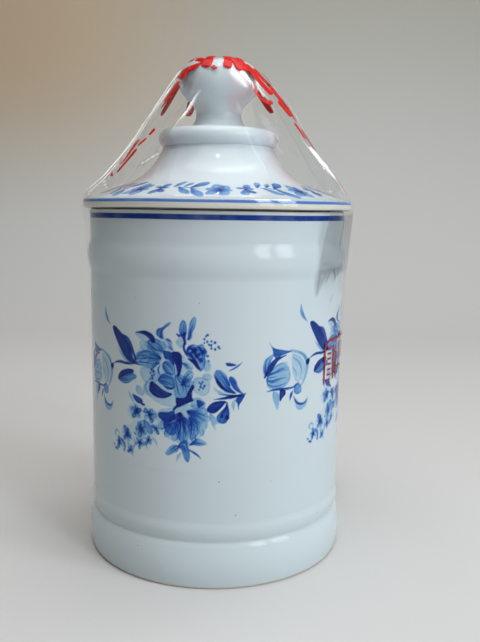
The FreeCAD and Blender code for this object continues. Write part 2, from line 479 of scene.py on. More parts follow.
def shown(name: str, mesh: Mesh) -> Object:
    """Puts a mesh in the scene at the origin.

    Args:
        name: The object's name.
        mesh: Its mesh.

    Returns:
        The object.
    """
    piece = bpy.data.objects.new(name, mesh)
    bpy.context.scene.collection.objects.link(piece)
    return piece


def fill_mesh(mesh: Mesh, points: Array, faces: Sequence[Sequence[int]]) -> None:
    """Fills an empty mesh with smooth faces.

    Args:
        mesh: The mesh.
        points: Its corners, in metres.
        faces: Each face's corners, by number.
    """
    mesh.from_pydata(points.tolist(), [], faces)
    mesh.polygons.foreach_set("use_smooth", [True] * len(mesh.polygons))
    mesh.update()


def apply_modifiers(piece: Object) -> None:
    """Gives a piece the mesh that its modifiers make, and takes them off.

    Args:
        piece: The piece.
    """
    ready = piece.evaluated_get(bpy.context.evaluated_depsgraph_get())
    made = bpy.data.meshes.new_from_object(ready)
    piece.modifiers.clear()
    piece.data = made


def grid_mesh(name: str, corners: Array, wrap: bool) -> Mesh:
    """Makes a smooth mesh from rows and columns of corners.

    Args:
        name: The mesh's name.
        corners: Array of shape (rows, columns, 3), in metres.
        wrap: Whether the last column joins the first.

    Returns:
        The mesh, whose vertices are in the order of the array.
    """
    rows, columns = corners.shape[:2]
    index = np.arange(rows * columns).reshape(rows, columns)
    right = np.roll(index, -1, axis=1)
    last = columns if wrap else columns - 1
    quads = np.stack([index[:-1], right[:-1], right[1:], index[1:]], -1)[:, :last]
    mesh = bpy.data.meshes.new(name)
    fill_mesh(mesh, corners.reshape(-1, 3), quads.reshape(-1, 4).tolist())
    return mesh


def colour_attribute(mesh: Mesh, name: str, colours: Array) -> None:
    """Stores one colour for each vertex.

    Args:
        mesh: The mesh.
        name: The attribute's name.
        colours: The colours, in the vertices' order.
    """
    made = mesh.attributes.new(name, "FLOAT_COLOR", "POINT")
    full = np.concatenate([colours.reshape(-1, 3), np.ones((colours.size // 3, 1))], 1)
    made.data.foreach_set("color", full.astype(np.float32).ravel())


def around(azimuth: Array, radius: Array, height: Array) -> Array:
    """Points in metres from azimuths in radians, and radii and heights in metres."""
    return np.stack([radius * np.sin(azimuth), -radius * np.cos(azimuth), height], -1)


class TurnedFace:
    """The outer face of a turned node between two heights, as radius and distance along it."""

    def __init__(self, node: str, low: float, high: float, count: int = 160) -> None:
        """Measures the node's mesh from outside.

        Args:
            node: The node's name.
            low: Where the face starts, in millimetres of height.
            high: Where it ends.
            count: How many heights are measured.
        """
        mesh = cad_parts[node].data
        corners = [vertex.co for vertex in mesh.vertices]
        tree = BVHTree.FromPolygons(corners, [tuple(face.vertices) for face in mesh.polygons])
        self.heights = np.linspace(low, high, count) * MM
        self.radii = np.array([self.reach(tree, height) for height in self.heights])
        steps = np.hypot(np.diff(self.radii), np.diff(self.heights))
        self.distance = np.concatenate([[0.0], np.cumsum(steps)])
        tangent_r = np.gradient(self.radii, self.distance)
        tangent_z = np.gradient(self.heights, self.distance)
        self.normals = np.stack([tangent_z, -tangent_r], -1)

    @staticmethod
    def reach(tree: BVHTree, height: float, turns: int = 48) -> float:
        """The largest radius that rays from outside meet at a height.

        Args:
            tree: The mesh to meet.
            height: The height, in metres.
            turns: How many rays there are round the axis.

        Returns:
            The radius, in metres.
        """
        radii = []
        for turn in range(turns):
            angle = 2 * math.pi * turn / turns
            way = Vector((math.cos(angle), math.sin(angle), 0.0))
            start = way * OUTSIDE + Vector((0.0, 0.0, height))
            place = tree.ray_cast(start, -way)[0]
            if place is not None:
                radii.append(math.hypot(place.x, place.y))
        return max(radii)

    def points(self, azimuth: Array, distance: Array, lift: float) -> Array:
        """Points on the face, lifted off it along its normal.

        Args:
            azimuth: In radians.
            distance: How far up along the face, in metres.
            lift: How far off the face, in metres.

        Returns:
            Array of points, in metres.
        """
        radius = np.interp(distance, self.distance, self.radii)
        height = np.interp(distance, self.distance, self.heights)
        out = np.interp(distance, self.distance, self.normals[:, 0])
        up = np.interp(distance, self.distance, self.normals[:, 1])
        return around(azimuth, radius + lift * out, height + lift * up)


class Pattern(Tree):
    """A Geometry Nodes tree that sets copies of one small shape on a path or a surface."""

    def __init__(self, name: str, sizes: Mapping[str, float | int]) -> None:
        """Makes a tree with a ground, its named sizes and a finish as inputs.

        Args:
            name: The tree's name.
            sizes: The inputs' names and the values that a modifier gets.
        """
        self.tree = bpy.data.node_groups.new(name, "GeometryNodeTree")
        self.tree.is_modifier = True
        self.sizes = dict(sizes)
        self.identifiers: dict[str, str] = {}
        self.add_input("Ground", "NodeSocketGeometry")
        for label, size in sizes.items():
            self.add_input(label, "NodeSocketInt" if isinstance(size, int) else "NodeSocketFloat")
        self.add_input("Finish", "NodeSocketMaterial")
        result = {"name": "Result", "in_out": "OUTPUT", "socket_type": "NodeSocketGeometry"}
        self.tree.interface.new_socket(**result)
        self.given = self.node("NodeGroupInput", {}, {}).outputs

    def add_input(self, label: str, kind: str) -> None:
        """Adds a named input to the tree."""
        made = self.tree.interface.new_socket(name=label, in_out="INPUT", socket_type=kind)
        self.identifiers[label] = made.identifier

    def end_with(self, instances: NodeSocket) -> None:
        """Realises the instances, gives them the finish and ends the tree.

        Args:
            instances: The copies.
        """
        real = self.node("GeometryNodeRealizeInstances", {}, {"Geometry": instances})
        inputs = {"Geometry": real.outputs[0], "Material": self.given["Finish"]}
        dressed = self.node("GeometryNodeSetMaterial", {}, inputs)
        self.node("NodeGroupOutput", {}, {0: dressed.outputs[0]})

    def made_on(self, ground: Mesh, finish: Material) -> Object:
        """Runs the tree on a mesh.

        Args:
            ground: The path or surface that the copies sit on.
            finish: Their material.

        Returns:
            A piece with the tree's name and a plain mesh.
        """
        piece = shown(self.tree.name, ground)
        modifier = piece.modifiers.new("pattern", "NODES")
        modifier.node_group = self.tree
        for label, size in self.sizes.items():
            modifier[self.identifiers[label]] = size
        modifier[self.identifiers["Finish"]] = finish
        apply_modifiers(piece)
        return piece


# -------------------------------------------------------------------------------- painting


class Ink(Enum):
    """Blues of the painting, as the light that each lets through."""

    NAVY = (0.001, 0.030, 0.29)
    COBALT = (0.008, 0.085, 0.46)
    BLUE = (0.12, 0.33, 0.73)
    AQUA = (0.36, 0.60, 0.84)


NAVY, COBALT, BLUE, AQUA = Ink
EDGE_SOFTNESS = {NAVY: 0.17, COBALT: 0.2, BLUE: 0.3, AQUA: 0.5}


def smooth_line(points: Sequence[Point], closed: bool, fine: int = 8) -> Array:
    """A smooth curve through given points.

    Args:
        points: The points, in millimetres.
        closed: Whether the curve runs on from the last point to the first.
        fine: How many steps there are between two points.

    Returns:
        Array of shape (count, 2).
    """
    base = np.array(points, float)
    if closed:
        padded = np.concatenate([base[-1:], base, base[:2]])
    else:
        padded = np.concatenate([2 * base[:1] - base[1:2], base, 2 * base[-1:] - base[-2:-1]])
    t = np.linspace(0, 1, fine, endpoint=False)[:, None]
    runs = []
    for a, b, c, d in zip(padded, padded[1:], padded[2:], padded[3:]):
        bend = 2 * a - 5 * b + 4 * c - d
        runs.append(0.5 * (2 * b + (c - a) * t + bend * t**2 + (3 * b - a - 3 * c + d) * t**3))
    line = np.concatenate(runs)
    return line if closed else np.concatenate([line, base[-1:]])


def cloud(x: Array, y: Array, size: float, seed: int) -> Array:
    """Smooth random values between nought and one.

    Args:
        x: Places across.
        y: Places up.
        size: The features' size, in the same measure.
        seed: Picks the values.

    Returns:
        Array of the places' shape.
    """
    cells = CLOUD_CELLS
    lattice = np.random.default_rng(seed).random((cells, cells))
    u, v = x / size + CLOUD_SHIFT, y / size + CLOUD_SHIFT
    i, j = np.floor(u).astype(int), np.floor(v).astype(int)
    fu, fv = u - i, v - j
    fu, fv = fu * fu * (3 - 2 * fu), fv * fv * (3 - 2 * fv)
    i0, j0, i1, j1 = i % cells, j % cells, (i + 1) % cells, (j + 1) % cells
    low = lattice[i0, j0] * (1 - fu) + lattice[i1, j0] * fu
    high = lattice[i0, j1] * (1 - fu) + lattice[i1, j1] * fu
    return low * (1 - fv) + high * fv


def soft_step(value: Array, low: float, high: float) -> Array:
    """Nought below low, one above high, and smooth between."""
    t = np.clip((value - low) / (high - low), 0, 1)
    return t * t * (3 - 2 * t)


@dataclass
class Canvas:
    """A rectangle of glaze that takes paint, in millimetres."""

    left: float
    right: float
    low: float
    high: float
    step: float
    seed: int = 0
    shift: Point = (0.0, 0.0)
    x: Array = field(init=False)
    y: Array = field(init=False)
    light: Array = field(init=False)

    def __post_init__(self) -> None:
        """Lays out the grid, clear of ink."""
        columns = round((self.right - self.left) / self.step) + 1
        rows = round((self.high - self.low) / self.step) + 1
        across = np.linspace(self.left, self.right, columns)
        up = np.linspace(self.low, self.high, rows)
        self.x, self.y = np.meshgrid(across, up)
        self.light = np.ones((rows, columns, 3))

    def wander(self, amount: float, size: float, seeds: tuple[int, int]) -> None:
        """Bends the grid a little, so that repeats of a drawing differ.

        Args:
            amount: How far the places spread, in millimetres.
            size: The size of the bends.
            seeds: The seeds across and up.
        """
        flat_x, flat_y = self.x, self.y
        self.x = flat_x + amount * (cloud(flat_x, flat_y, size, seeds[0]) - 0.5)
        self.y = flat_y + amount * (cloud(flat_x, flat_y, size, seeds[1]) - 0.5)

    def window(self, line: Array, margin: float) -> tuple[slice, slice]:
        """Finds the part of the grid around a line.

        Args:
            line: The line's points.
            margin: How far the part reaches past them.

        Returns:
            The rows and the columns.
        """
        low, high = line.min(0) - margin, line.max(0) + margin
        columns = np.clip((np.array([low[0], high[0]]) - self.left) / self.step, 0, self.x.shape[1])
        rows = np.clip((np.array([low[1], high[1]]) - self.low) / self.step, 0, self.x.shape[0])
        return slice(int(rows[0]), int(rows[1]) + 2), slice(int(columns[0]), int(columns[1]) + 2)

    def absorb(self, part: tuple[slice, slice], ink: Ink, amount: Array) -> None:
        """Lets less light through part of the grid."""
        amount = np.clip(amount, 0, 1.05)[..., None]
        self.light[part] *= np.array(ink.value) ** amount

    def wash(
        self,
        ink: Ink,
        depth: float,
        outline: Sequence[Point],
        tip: float = 0.6,
        streak: float = 0.35,
        rim: float = 0.4,
        veins: int = 0,
    ) -> None:
        """Fills a closed outline, darker at its edge, with brush streaks from root to tip.

        Args:
            ink: The ink.
            depth: How much of it there is at the root, the outline's first point.
            outline: Listed points round the shape.
            tip: How much of that depth is left at the far end.
            streak: How strongly the bristles show.
            rim: How strongly a broken darker line follows the edge.
            veins: How many fine lines run from the root to the tip.
        """
        self.seed += 1
        line = smooth_line(outline, True) + self.shift
        part = self.window(line, 1.0)
        x, y = self.x[part], self.y[part]
        inside, near = outline_distance(x, y, line)
        root = line[0]
        reach = line[np.argmax(np.hypot(*(line - root).T))] - root
        length = math.hypot(*reach)
        along = ((x - root[0]) * reach[0] + (y - root[1]) * reach[1]) / length**2
        side = ((x - root[0]) * reach[1] - (y - root[1]) * reach[0]) / length
        level = 1 + (tip - 1) * np.clip(along, 0, 1)
        bristles = cloud(side, along * length * 0.16, 0.55, self.seed)
        pool = 0.35 * np.exp(-near / 0.55)
        grain = 0.16 * (cloud(x, y, 1.3, self.seed + 500) - 0.5)
        soft = EDGE_SOFTNESS[ink]
        edge = soft_step(np.where(inside, near, -near), -soft, soft)
        shade = depth * level * (1.1 - streak * soft_step(bristles, 0.35, 0.85) + pool + grain)
        self.absorb(part, ink, shade * edge)
        broken = soft_step(cloud(x, y, 1.7, self.seed + 300), 0.3, 0.7)
        line_ink = BLUE if ink is AQUA else COBALT
        self.absorb(part, line_ink, rim * broken * (1 - soft_step(near, 0.12, 0.42)) * edge)
        if veins:
            self.draw_veins(line, veins, 0.6)

    def draw_veins(self, line: Array, count: int, depth: float) -> None:
        """Draws fine lines inside an outline, from its first point to the farthest one.

        Args:
            line: The outline.
            count: How many lines there are.
            depth: How much ink they have.
        """
        far = int(np.argmax(np.hypot(*(line - line[0]).T)))
        share = np.linspace(0.06, 0.86, 7)
        sides = []
        for side in (line[: far + 1], np.concatenate([line[far:], line[:1]])[::-1]):
            steps = np.concatenate([[0], np.cumsum(np.hypot(*np.diff(side, axis=0).T))])
            places = share * steps[-1]
            sides.append(np.stack([np.interp(places, steps, side[:, k]) for k in range(2)], -1))
        for number in range(count):
            blend = (number + 1) / (count + 1) + 0.04 * math.sin(self.seed * 3.1 + number)
            path = sides[0] * (1 - blend) + sides[1] * blend - self.shift
            reach = 4 + (number * 5 + self.seed) % 4
            self.stroke(COBALT, depth, 0.5, path[:reach], 0.8)

    def petal(
        self, ink: Ink, depth: float, base: Point, end: Point, width: float, tip: float = 0.6
    ) -> None:
        """Paints a leaf-shaped petal, with one vein or two.

        Args:
            ink: The ink.
            depth: How much of it there is at the base.
            base: Where the petal starts.
            end: Where it ends.
            width: Its widest width.
            tip: How much of the depth is left at the end.
        """
        run_x, run_y = end[0] - base[0], end[1] - base[1]
        length = math.hypot(run_x, run_y)
        side_x, side_y = -run_y / length * width / 2, run_x / length * width / 2
        outline = [base]
        for share, swell in ((0.3, 0.62), (0.62, 1.0), (0.88, 0.72)):
            x, y = base[0] + run_x * share, base[1] + run_y * share
            outline.append((x + side_x * swell, y + side_y * swell))
        outline.append(end)
        for share, swell in ((0.9, 0.66), (0.6, 1.0), (0.28, 0.56)):
            x, y = base[0] + run_x * share, base[1] + run_y * share
            outline.append((x - side_x * swell, y - side_y * swell))
        self.wash(ink, depth, outline, tip, 0.4, 0.7, 2 if width > 1.6 else 1)

    def floret(self, centre: Point, radius: float, turn: float, petals: int = 5) -> None:
        """Paints a small flower with a dark eye.

        Args:
            centre: The flower's middle.
            radius: About how long the petals are.
            turn: The first petal's direction, in degrees.
            petals: How many there are.
        """
        for number in range(petals):
            angle = math.radians(turn + 360 * number / petals)
            reach = radius * (0.8 + 0.35 * ((number * 0.618 + turn) % 1))
            end = (centre[0] + reach * math.cos(angle), centre[1] + reach * math.sin(angle))
            ink = BLUE if number % 2 else AQUA
            self.petal(ink, 0.6, centre, end, radius * 0.62, 0.7)
        self.dots(COBALT, 0.7, radius * 0.28, [centre])

    def stroke(
        self, ink: Ink, depth: float, width: float, path: Sequence[Point], start: float = 0.3
    ) -> None:
        """Draws a line that swells from its start and tapers to its end.

        Args:
            ink: The ink.
            depth: How much of it there is.
            width: The widest width.
            path: Listed points along the line.
            start: The width at the start, as a share of the widest.
        """
        self.seed += 1
        line = smooth_line(path, False) + self.shift
        part = self.window(line, width + 1.0)
        x, y = self.x[part], self.y[part]
        share = np.linspace(0, 1, len(line))
        swell = np.sin(np.pi * np.clip(share, 0, 1) ** 0.8)
        half = width / 2 * np.maximum(np.maximum(swell, start * (1 - share)), 0.16)
        best = np.full(x.shape, -9.0)
        for k in range(len(line) - 1):
            gap, t = segment_distance(x, y, line[k], line[k + 1])
            best = np.maximum(best, half[k] + (half[k + 1] - half[k]) * t - gap)
        grain = 1 + 0.3 * (cloud(x, y, 0.9, self.seed + 900) - 0.5)
        self.absorb(part, ink, depth * grain * soft_step(best, -0.2, 0.22))

    def dots(self, ink: Ink, depth: float, size: float, centres: Sequence[Point]) -> None:
        """Sets down dots of about one size.

        Args:
            ink: The ink.
            depth: How much of it there is.
            size: About how wide the dots are.
            centres: Their middles.
        """
        for number, (cx, cy) in enumerate(centres):
            centre = np.array([[cx, cy]]) + self.shift
            part = self.window(centre, size + 0.6)
            gap = np.hypot(self.x[part] - centre[0, 0], (self.y[part] - centre[0, 1]) * 0.85)
            radius = size / 2 * (0.75 + 0.5 * ((number * 0.618) % 1))
            self.absorb(part, ink, depth * soft_step(radius - gap, -0.2, 0.15))


def segment_distance(x: Array, y: Array, start: Array, end: Array) -> tuple[Array, Array]:
    """Measures points against a segment.

    Args:
        x: The points' places across.
        y: Their places up.
        start: The segment's start.
        end: Its end.

    Returns:
        How far each point is from it, and the share of its length where the nearest place is.
    """
    dx, dy = end - start
    t = np.clip(((x - start[0]) * dx + (y - start[1]) * dy) / max(dx * dx + dy * dy, 1e-9), 0, 1)
    return np.hypot(x - start[0] - t * dx, y - start[1] - t * dy), t


def outline_distance(x: Array, y: Array, line: Array) -> tuple[Array, Array]:
    """Measures points against a closed line.

    Args:
        x: The points' places across.
        y: Their places up.
        line: The line's points.

    Returns:
        Which points are inside, and how far each is from the line.
    """
    inside = np.zeros(x.shape, bool)
    near = np.full(x.shape, 1e9)
    for start, end in zip(line, np.roll(line, -1, axis=0)):
        near = np.minimum(near, segment_distance(x, y, start, end)[0])
        crosses = (start[1] > y) != (end[1] > y)
        rise = end[1] - start[1]
        meets = start[0] + (y - start[1]) * (end[0] - start[0]) / (rise if rise else 1e-9)
        inside ^= crosses & (x < meets)
    return inside, near


@dataclass
class Bouquet:
    """One flower spray of the jar's wall, drawn part by part from the left to the right."""

    paint: Canvas

    def draw(self) -> None:
        """Paints the whole spray, washes before the strokes over them."""
        self.ground()
        self.big_leaves()
        self.small_leaves()
        self.backing_washes()
        self.blossom()
        self.lower_blossom()
        self.hanging_petals()
        self.sprigs()
        self.top_petals()
        self.bud()
        self.leaf_fan()
        self.fallen_leaves()
        self.paint.shift = (-91.0, -3.5)
        self.tulip()
        self.tulip_cup()
        self.tulip_stem()
        self.paint.shift = (0.0, 0.0)

    def ground(self) -> None:
        """Broad watery washes under the flowers, and the half-hidden petals on them."""
        wash, petal = self.paint.wash, self.paint.petal
        rose = [(-24, 79.5), (-28.6, 85), (-25.6, 91), (-31, 94), (-33, 98), (-28, 103.6)]
        rose += [(-22, 105), (-17, 101.5), (-10.6, 98), (-9, 91), (-7.4, 86), (-9.4, 79.4)]
        wash(AQUA, 0.42, rose + [(-16, 77.6)], 0.8, 0.3, 0.25)
        lower = [(-9, 79), (-2.4, 78), (-1.4, 72), (-4, 66), (-9, 62.6), (-14, 63), (-19, 65)]
        wash(AQUA, 0.55, lower + [(-23, 70.5), (-22, 75.5), (-15, 77.4)], 0.8, 0.3, 0.25)
        sprig = [(-27, 76), (-36, 76.6), (-38.4, 72), (-35, 68.6), (-42, 64.6), (-41.6, 59)]
        wash(AQUA, 0.22, sprig + [(-33, 58.6), (-25.4, 61), (-23, 69)], 0.8, 0.3, 0.0)
        for end in ((-31, 103), (-30, 97.8), (-27.4, 93.6)):
            petal(AQUA, 0.6, (-21, 97.4), end, 4.4)
        petal(AQUA, 0.7, (-19.4, 99.6), (-25.4, 104.6), 4.0)
        petal(AQUA, 0.7, (-16, 101), (-19.4, 105.2), 3.4)
        petal(BLUE, 0.5, (-12, 88), (-7.6, 92.6), 3.4)
        petal(BLUE, 0.45, (-12.6, 87), (-7.2, 88.2), 2.8)
        petal(AQUA, 0.8, (-12, 96), (-7.6, 94), 2.6)

    def big_leaves(self) -> None:
        """The dark double leaf at the upper left, with its wisp and stem."""
        wash, stroke = self.paint.wash, self.paint.stroke
        stroke(BLUE, 0.7, 1.8, [(-53.2, 115.5), (-52.8, 112.5), (-51.5, 110.3), (-49.2, 108.1)])
        stroke(BLUE, 0.35, 0.9, [(-52.6, 113.0), (-51.6, 110.8), (-49.4, 108.4)])
        outer = [(-47.5, 107.5), (-46, 108.2), (-43.5, 107), (-41, 105.2), (-38.5, 102.5)]
        outer += [(-36.5, 99.5), (-34.8, 96), (-33, 94.2), (-30, 93.3), (-36, 94), (-39, 95.5)]
        outer += [(-42, 98.5), (-44.5, 102), (-46.5, 105)]
        wash(NAVY, 0.97, outer, 0.9, 0.3)
        inner = [(-41, 105), (-38, 104.6), (-36, 102.5), (-34.5, 99.5), (-33.5, 97), (-33, 94.5)]
        inner += [(-35, 97.2), (-38, 101.4)]
        wash(COBALT, 0.95, inner, 0.8, 0.3)
        stroke(BLUE, 0.5, 1.3, [(-44, 99), (-41, 96.5), (-38, 94.2), (-35, 93.6)])
        stroke(NAVY, 0.95, 1.1, [(-34, 93.7), (-38, 93.3), (-42, 93.5), (-45, 93), (-47.5, 91.8)])
        stroke(NAVY, 0.9, 0.7, [(-47.5, 91.8), (-48.2, 91.2), (-48.3, 90)])
        self.paint.dots(NAVY, 0.95, 1.9, [(-47.8, 91.2), (-48.3, 90.6)])

    def small_leaves(self) -> None:
        """Two dark leaves below the double leaf."""
        wash, stroke = self.paint.wash, self.paint.stroke
        lower = [(-44, 86), (-41, 84.6), (-38.5, 84.8), (-35.5, 86.3), (-33, 88.2), (-35, 89.6)]
        lower += [(-38, 89.4), (-41.5, 88)]
        wash(BLUE, 0.95, lower, 0.75, veins=3)
        upper = [(-44, 86.5), (-43.5, 88), (-41.5, 89.8), (-38.5, 90.9), (-35.5, 91.2)]
        upper += [(-34.5, 90.3), (-36, 89.3), (-39, 88.5), (-41.5, 87), (-43.8, 85.8)]
        wash(NAVY, 0.95, upper, 0.85, 0.2)
        wash(AQUA, 0.8, [(-33, 84.5), (-30.5, 84), (-29, 82), (-30.5, 80.8), (-33, 82)])
        tail = [(-35.3, 80.6), (-33, 80.2), (-30.5, 79.3), (-30, 78), (-31.8, 77.2), (-34, 78.3)]
        wash(COBALT, 1.0, tail, 0.9)
        stroke(NAVY, 0.9, 1.1, [(-31, 77.8), (-29.8, 77.1), (-28.6, 77)])
        stroke(AQUA, 0.8, 1.4, [(-37.5, 81.5), (-36, 79), (-34, 76.5)])

    def backing_washes(self) -> None:
        """Pale washes that lie behind the blossoms."""
        wash, stroke = self.paint.wash, self.paint.stroke
        top = [(-27, 104), (-24, 105), (-20, 104), (-19, 101), (-22, 98.5), (-27, 100.5)]
        wash(AQUA, 0.75, top, 0.8, veins=2)
        side = [(-34.5, 94.5), (-33, 98), (-29.5, 99.6), (-25.5, 99), (-23, 96), (-25, 93.4)]
        side += [(-30, 93.4)]
        wash(AQUA, 0.75, side, 0.9, veins=3)
        middle = [(-15, 90.5), (-11.5, 90.8), (-9, 88.5), (-8.6, 84.5), (-11, 81.6), (-15, 82.5)]
        wash(AQUA, 0.95, middle, 0.9, veins=3)
        wash(AQUA, 0.55, [(-31, 92), (-26, 93), (-22, 90), (-24, 87), (-29, 87)], 0.8)
        wash(AQUA, 0.6, [(-33.5, 106.6), (-29, 107.6), (-24.2, 105.8), (-24.4, 103), (-29, 103.6)])
        stroke(BLUE, 0.75, 1.1, [(-33, 96.5), (-31.6, 98), (-30, 99), (-27.5, 99.8), (-25.5, 99)])
        stroke(BLUE, 0.55, 0.8, [(-32, 94.6), (-29.5, 96.4), (-26.4, 97), (-24, 96.4)])
        stroke(BLUE, 0.5, 0.8, [(-27, 103.5), (-24.5, 101.2), (-22.2, 100.4), (-20.4, 100.6)])
        stroke(BLUE, 0.5, 0.7, [(-14, 89.5), (-12, 87.6), (-11.5, 85), (-12.4, 82.8)])

    def blossom(self) -> None:
        """The big rose in the middle, with its stamens and the petals above it."""
        wash, stroke = self.paint.wash, self.paint.stroke
        arch = [(-33.5, 106.8), (-31, 107.6), (-28.5, 108), (-26, 107.3), (-24.3, 106)]
        arch += [(-23.8, 104), (-24.8, 103.3), (-26.5, 104.8), (-28.5, 106.2), (-31, 106.8)]
        wash(NAVY, 0.9, arch, 0.85, 0.2)
        flame = [(-21, 105.5), (-23.3, 107), (-22.8, 109), (-20.5, 110), (-18, 112)]
        flame += [(-16.8, 111.8), (-20, 109), (-20.2, 107), (-19.8, 105.3)]
        wash(BLUE, 0.95, flame, 0.7, veins=3)
        stroke(COBALT, 0.85, 0.8, [(-19, 105.3), (-17.5, 104.9), (-16.3, 103.8)])
        heart = [(-15, 100.5), (-12.8, 100), (-12, 97.5), (-12.2, 94), (-13, 91), (-14, 90.5)]
        heart += [(-14.2, 93), (-15, 96), (-16, 98.5), (-16.3, 100)]
        wash(NAVY, 1.0, heart, 0.9, 0.15)
        crest = [(-19.8, 100.2), (-17.5, 100.4), (-16.3, 99.6), (-15.3, 97), (-15.5, 94.8)]
        crest += [(-17.5, 96.8), (-19.5, 97.5)]
        wash(COBALT, 0.97, crest, 0.85)
        cup = [(-20.3, 95), (-19, 96.4), (-17, 96.3), (-15.3, 94.5), (-14.9, 92), (-15.5, 90.6)]
        cup += [(-17.5, 91), (-19.5, 91.8), (-20.3, 93.3)]
        wash(BLUE, 0.6, cup, 0.6, veins=4)
        stroke(BLUE, 0.7, 0.7, [(-20.3, 93.6), (-18.6, 92), (-16.6, 91.2), (-14.8, 91.4)])
        ball = [(-22.3, 88.3), (-21, 90.6), (-18.5, 91.3), (-16.3, 90.5), (-15.2, 88.5)]
        ball += [(-15.5, 86), (-17.5, 85.2), (-20, 86), (-22, 87.3)]
        wash(BLUE, 1.0, ball, 0.75, 0.5, veins=4)
        base = [(-26, 86.8), (-25, 87.3), (-23, 86.2), (-20.5, 84.5), (-18, 83.5), (-16.2, 83)]
        base += [(-17.5, 81.8), (-20, 80.8), (-22.8, 80.9), (-25.3, 82), (-26.6, 83.6), (-26.5, 85.5)]
        wash(NAVY, 1.0, base, 0.75, 0.3)
        stroke(AQUA, 0.9, 1.6, [(-27.6, 87), (-28.7, 84.6), (-27.6, 82.2), (-25.6, 80.6)])
        stroke(NAVY, 0.95, 0.9, [(-20, 86), (-18, 85.2), (-16.3, 85.2), (-14.8, 86.2)])
        stroke(COBALT, 0.8, 0.8, [(-21.6, 90.2), (-22.4, 92.4), (-21.4, 94.6)])
        stamens = [(-26, 88.3), (-25.2, 89.6), (-26, 90.8), (-25.4, 92.3), (-24.6, 93.3), (-23.8, 94)]
        stamens += [(-23, 94.8), (-22.1, 95.2), (-24.5, 91.5), (-25, 88.6), (-24.3, 90.2)]
        self.paint.dots(COBALT, 0.95, 0.8, stamens)

    def lower_blossom(self) -> None:
        """The half-open flower under the rose."""
        wash, stroke = self.paint.wash, self.paint.stroke
        cross = [(-14.5, 81.5), (-12, 81.5), (-10.3, 82.3), (-9.4, 84.5), (-8.3, 86.5), (-7.5, 87.3)]
        cross += [(-7, 86.3), (-8, 84), (-7.8, 82), (-7.3, 80.8), (-9.3, 79.8), (-11.8, 78.6)]
        cross += [(-13.8, 77.6), (-14.5, 79.3)]
        wash(NAVY, 1.0, cross, 0.9, 0.15)
        wash(AQUA, 0.8, [(-8, 81), (-5.5, 82), (-3, 80.8), (-2.6, 78.6), (-5, 77), (-8, 78.4)])
        for end in ((-22.6, 67.8), (-19.4, 64.4), (-15.6, 63), (-11.6, 62.6), (-6.6, 63.4)):
            self.paint.petal(BLUE, 0.36, (-12.6, 75.6), end, 3.4, 0.7)
        for end in ((-3.2, 66.4), (-1.2, 69.8), (-0.4, 73.2), (-1.4, 76.4)):
            self.paint.petal(AQUA, 0.4, (-10, 76.4), end, 3.0, 0.7)
        ear = [(-5.8, 81), (-4, 80.8), (-2.8, 79.8), (-3.6, 78.8), (-5.3, 78)]
        wash(COBALT, 0.9, ear, 0.8)
        stroke(NAVY, 0.9, 1.0, [(-13.8, 79), (-14.6, 77.6), (-15.5, 76.5), (-15.2, 75)])
        wing = [(-22.3, 74.2), (-21, 75), (-18, 75.2), (-16, 75.8), (-15, 74.5), (-15.3, 72.8)]
        wing += [(-17.5, 71), (-20, 71.3), (-22, 72.6)]
        wash(COBALT, 1.0, wing, 0.85, 0.25)
        under = [(-20, 71), (-17.5, 70.6), (-15, 71.3), (-14.2, 69.5), (-14.5, 67), (-16.2, 65.6)]
        under += [(-18.5, 66.5), (-19.8, 68.5)]
        wash(BLUE, 1.0, under, 0.75, 0.5, veins=3)
        middle = [(-13.8, 72), (-11.5, 73.5), (-9.6, 73), (-8.9, 70), (-9.2, 66.5), (-10, 63.8)]
        middle += [(-12.5, 63.4), (-14, 65), (-14.6, 68)]
        wash(BLUE, 0.55, middle, 0.6, 0.6, veins=4)
        right = [(-9.2, 73.5), (-6.8, 73), (-4.8, 70.5), (-5, 67.5), (-6.8, 65.3), (-8.3, 64.5)]
        right += [(-8.8, 67.5)]
        wash(BLUE, 0.4, right, 0.7, veins=3)
        stroke(COBALT, 0.7, 0.8, [(-9.5, 74), (-8.4, 72), (-8, 69.5), (-8.2, 65.5)])
        stroke(BLUE, 0.7, 0.7, [(-13.6, 74.5), (-12.6, 71), (-12.8, 67), (-11.8, 64)])
        wash(AQUA, 0.8, [(-7, 76.5), (-4, 76), (-2.3, 73.8), (-3.5, 71.8), (-6.5, 72)])
        stroke(BLUE, 0.5, 0.6, [(-6.8, 74.6), (-4.8, 74.2), (-3.2, 73)])

    def hanging_petals(self) -> None:
        """The lowest petal and its wings."""
        wash, stroke = self.paint.wash, self.paint.stroke
        petal = [(-13.7, 61), (-12, 63.5), (-9.8, 63.8), (-9.3, 61.5), (-8.8, 59), (-8.7, 56.5)]
        petal += [(-9.5, 54.8), (-10.8, 56), (-11.7, 58.3), (-12.2, 60)]
        wash(BLUE, 1.0, petal, 0.85, 0.45, veins=3)
        left = [(-13.5, 61.3), (-15.5, 61.6), (-18, 59.8), (-19, 57.6), (-18, 57), (-15.8, 58)]
        left += [(-13.8, 59.3)]
        wash(BLUE, 0.5, left, 0.8, veins=2)
        stroke(BLUE, 0.6, 0.8, [(-13.6, 60.4), (-16, 59.8), (-18.4, 58)])
        right = [(-9, 62), (-7, 64), (-5.5, 65), (-3, 64.2), (-1.8, 62.8), (-4, 62), (-7, 62.2)]
        wash(BLUE, 0.5, right, 0.8, veins=2)
        stroke(BLUE, 0.75, 0.9, [(-8.6, 62.4), (-6, 63.2), (-3.2, 63)])
        stroke(COBALT, 0.85, 0.9, [(-9.3, 60.3), (-7, 59), (-5.3, 57.8), (-4, 56.5)])
        stroke(AQUA, 0.8, 1.4, [(-12.4, 58.6), (-13.6, 56.8), (-14.2, 54.8)])

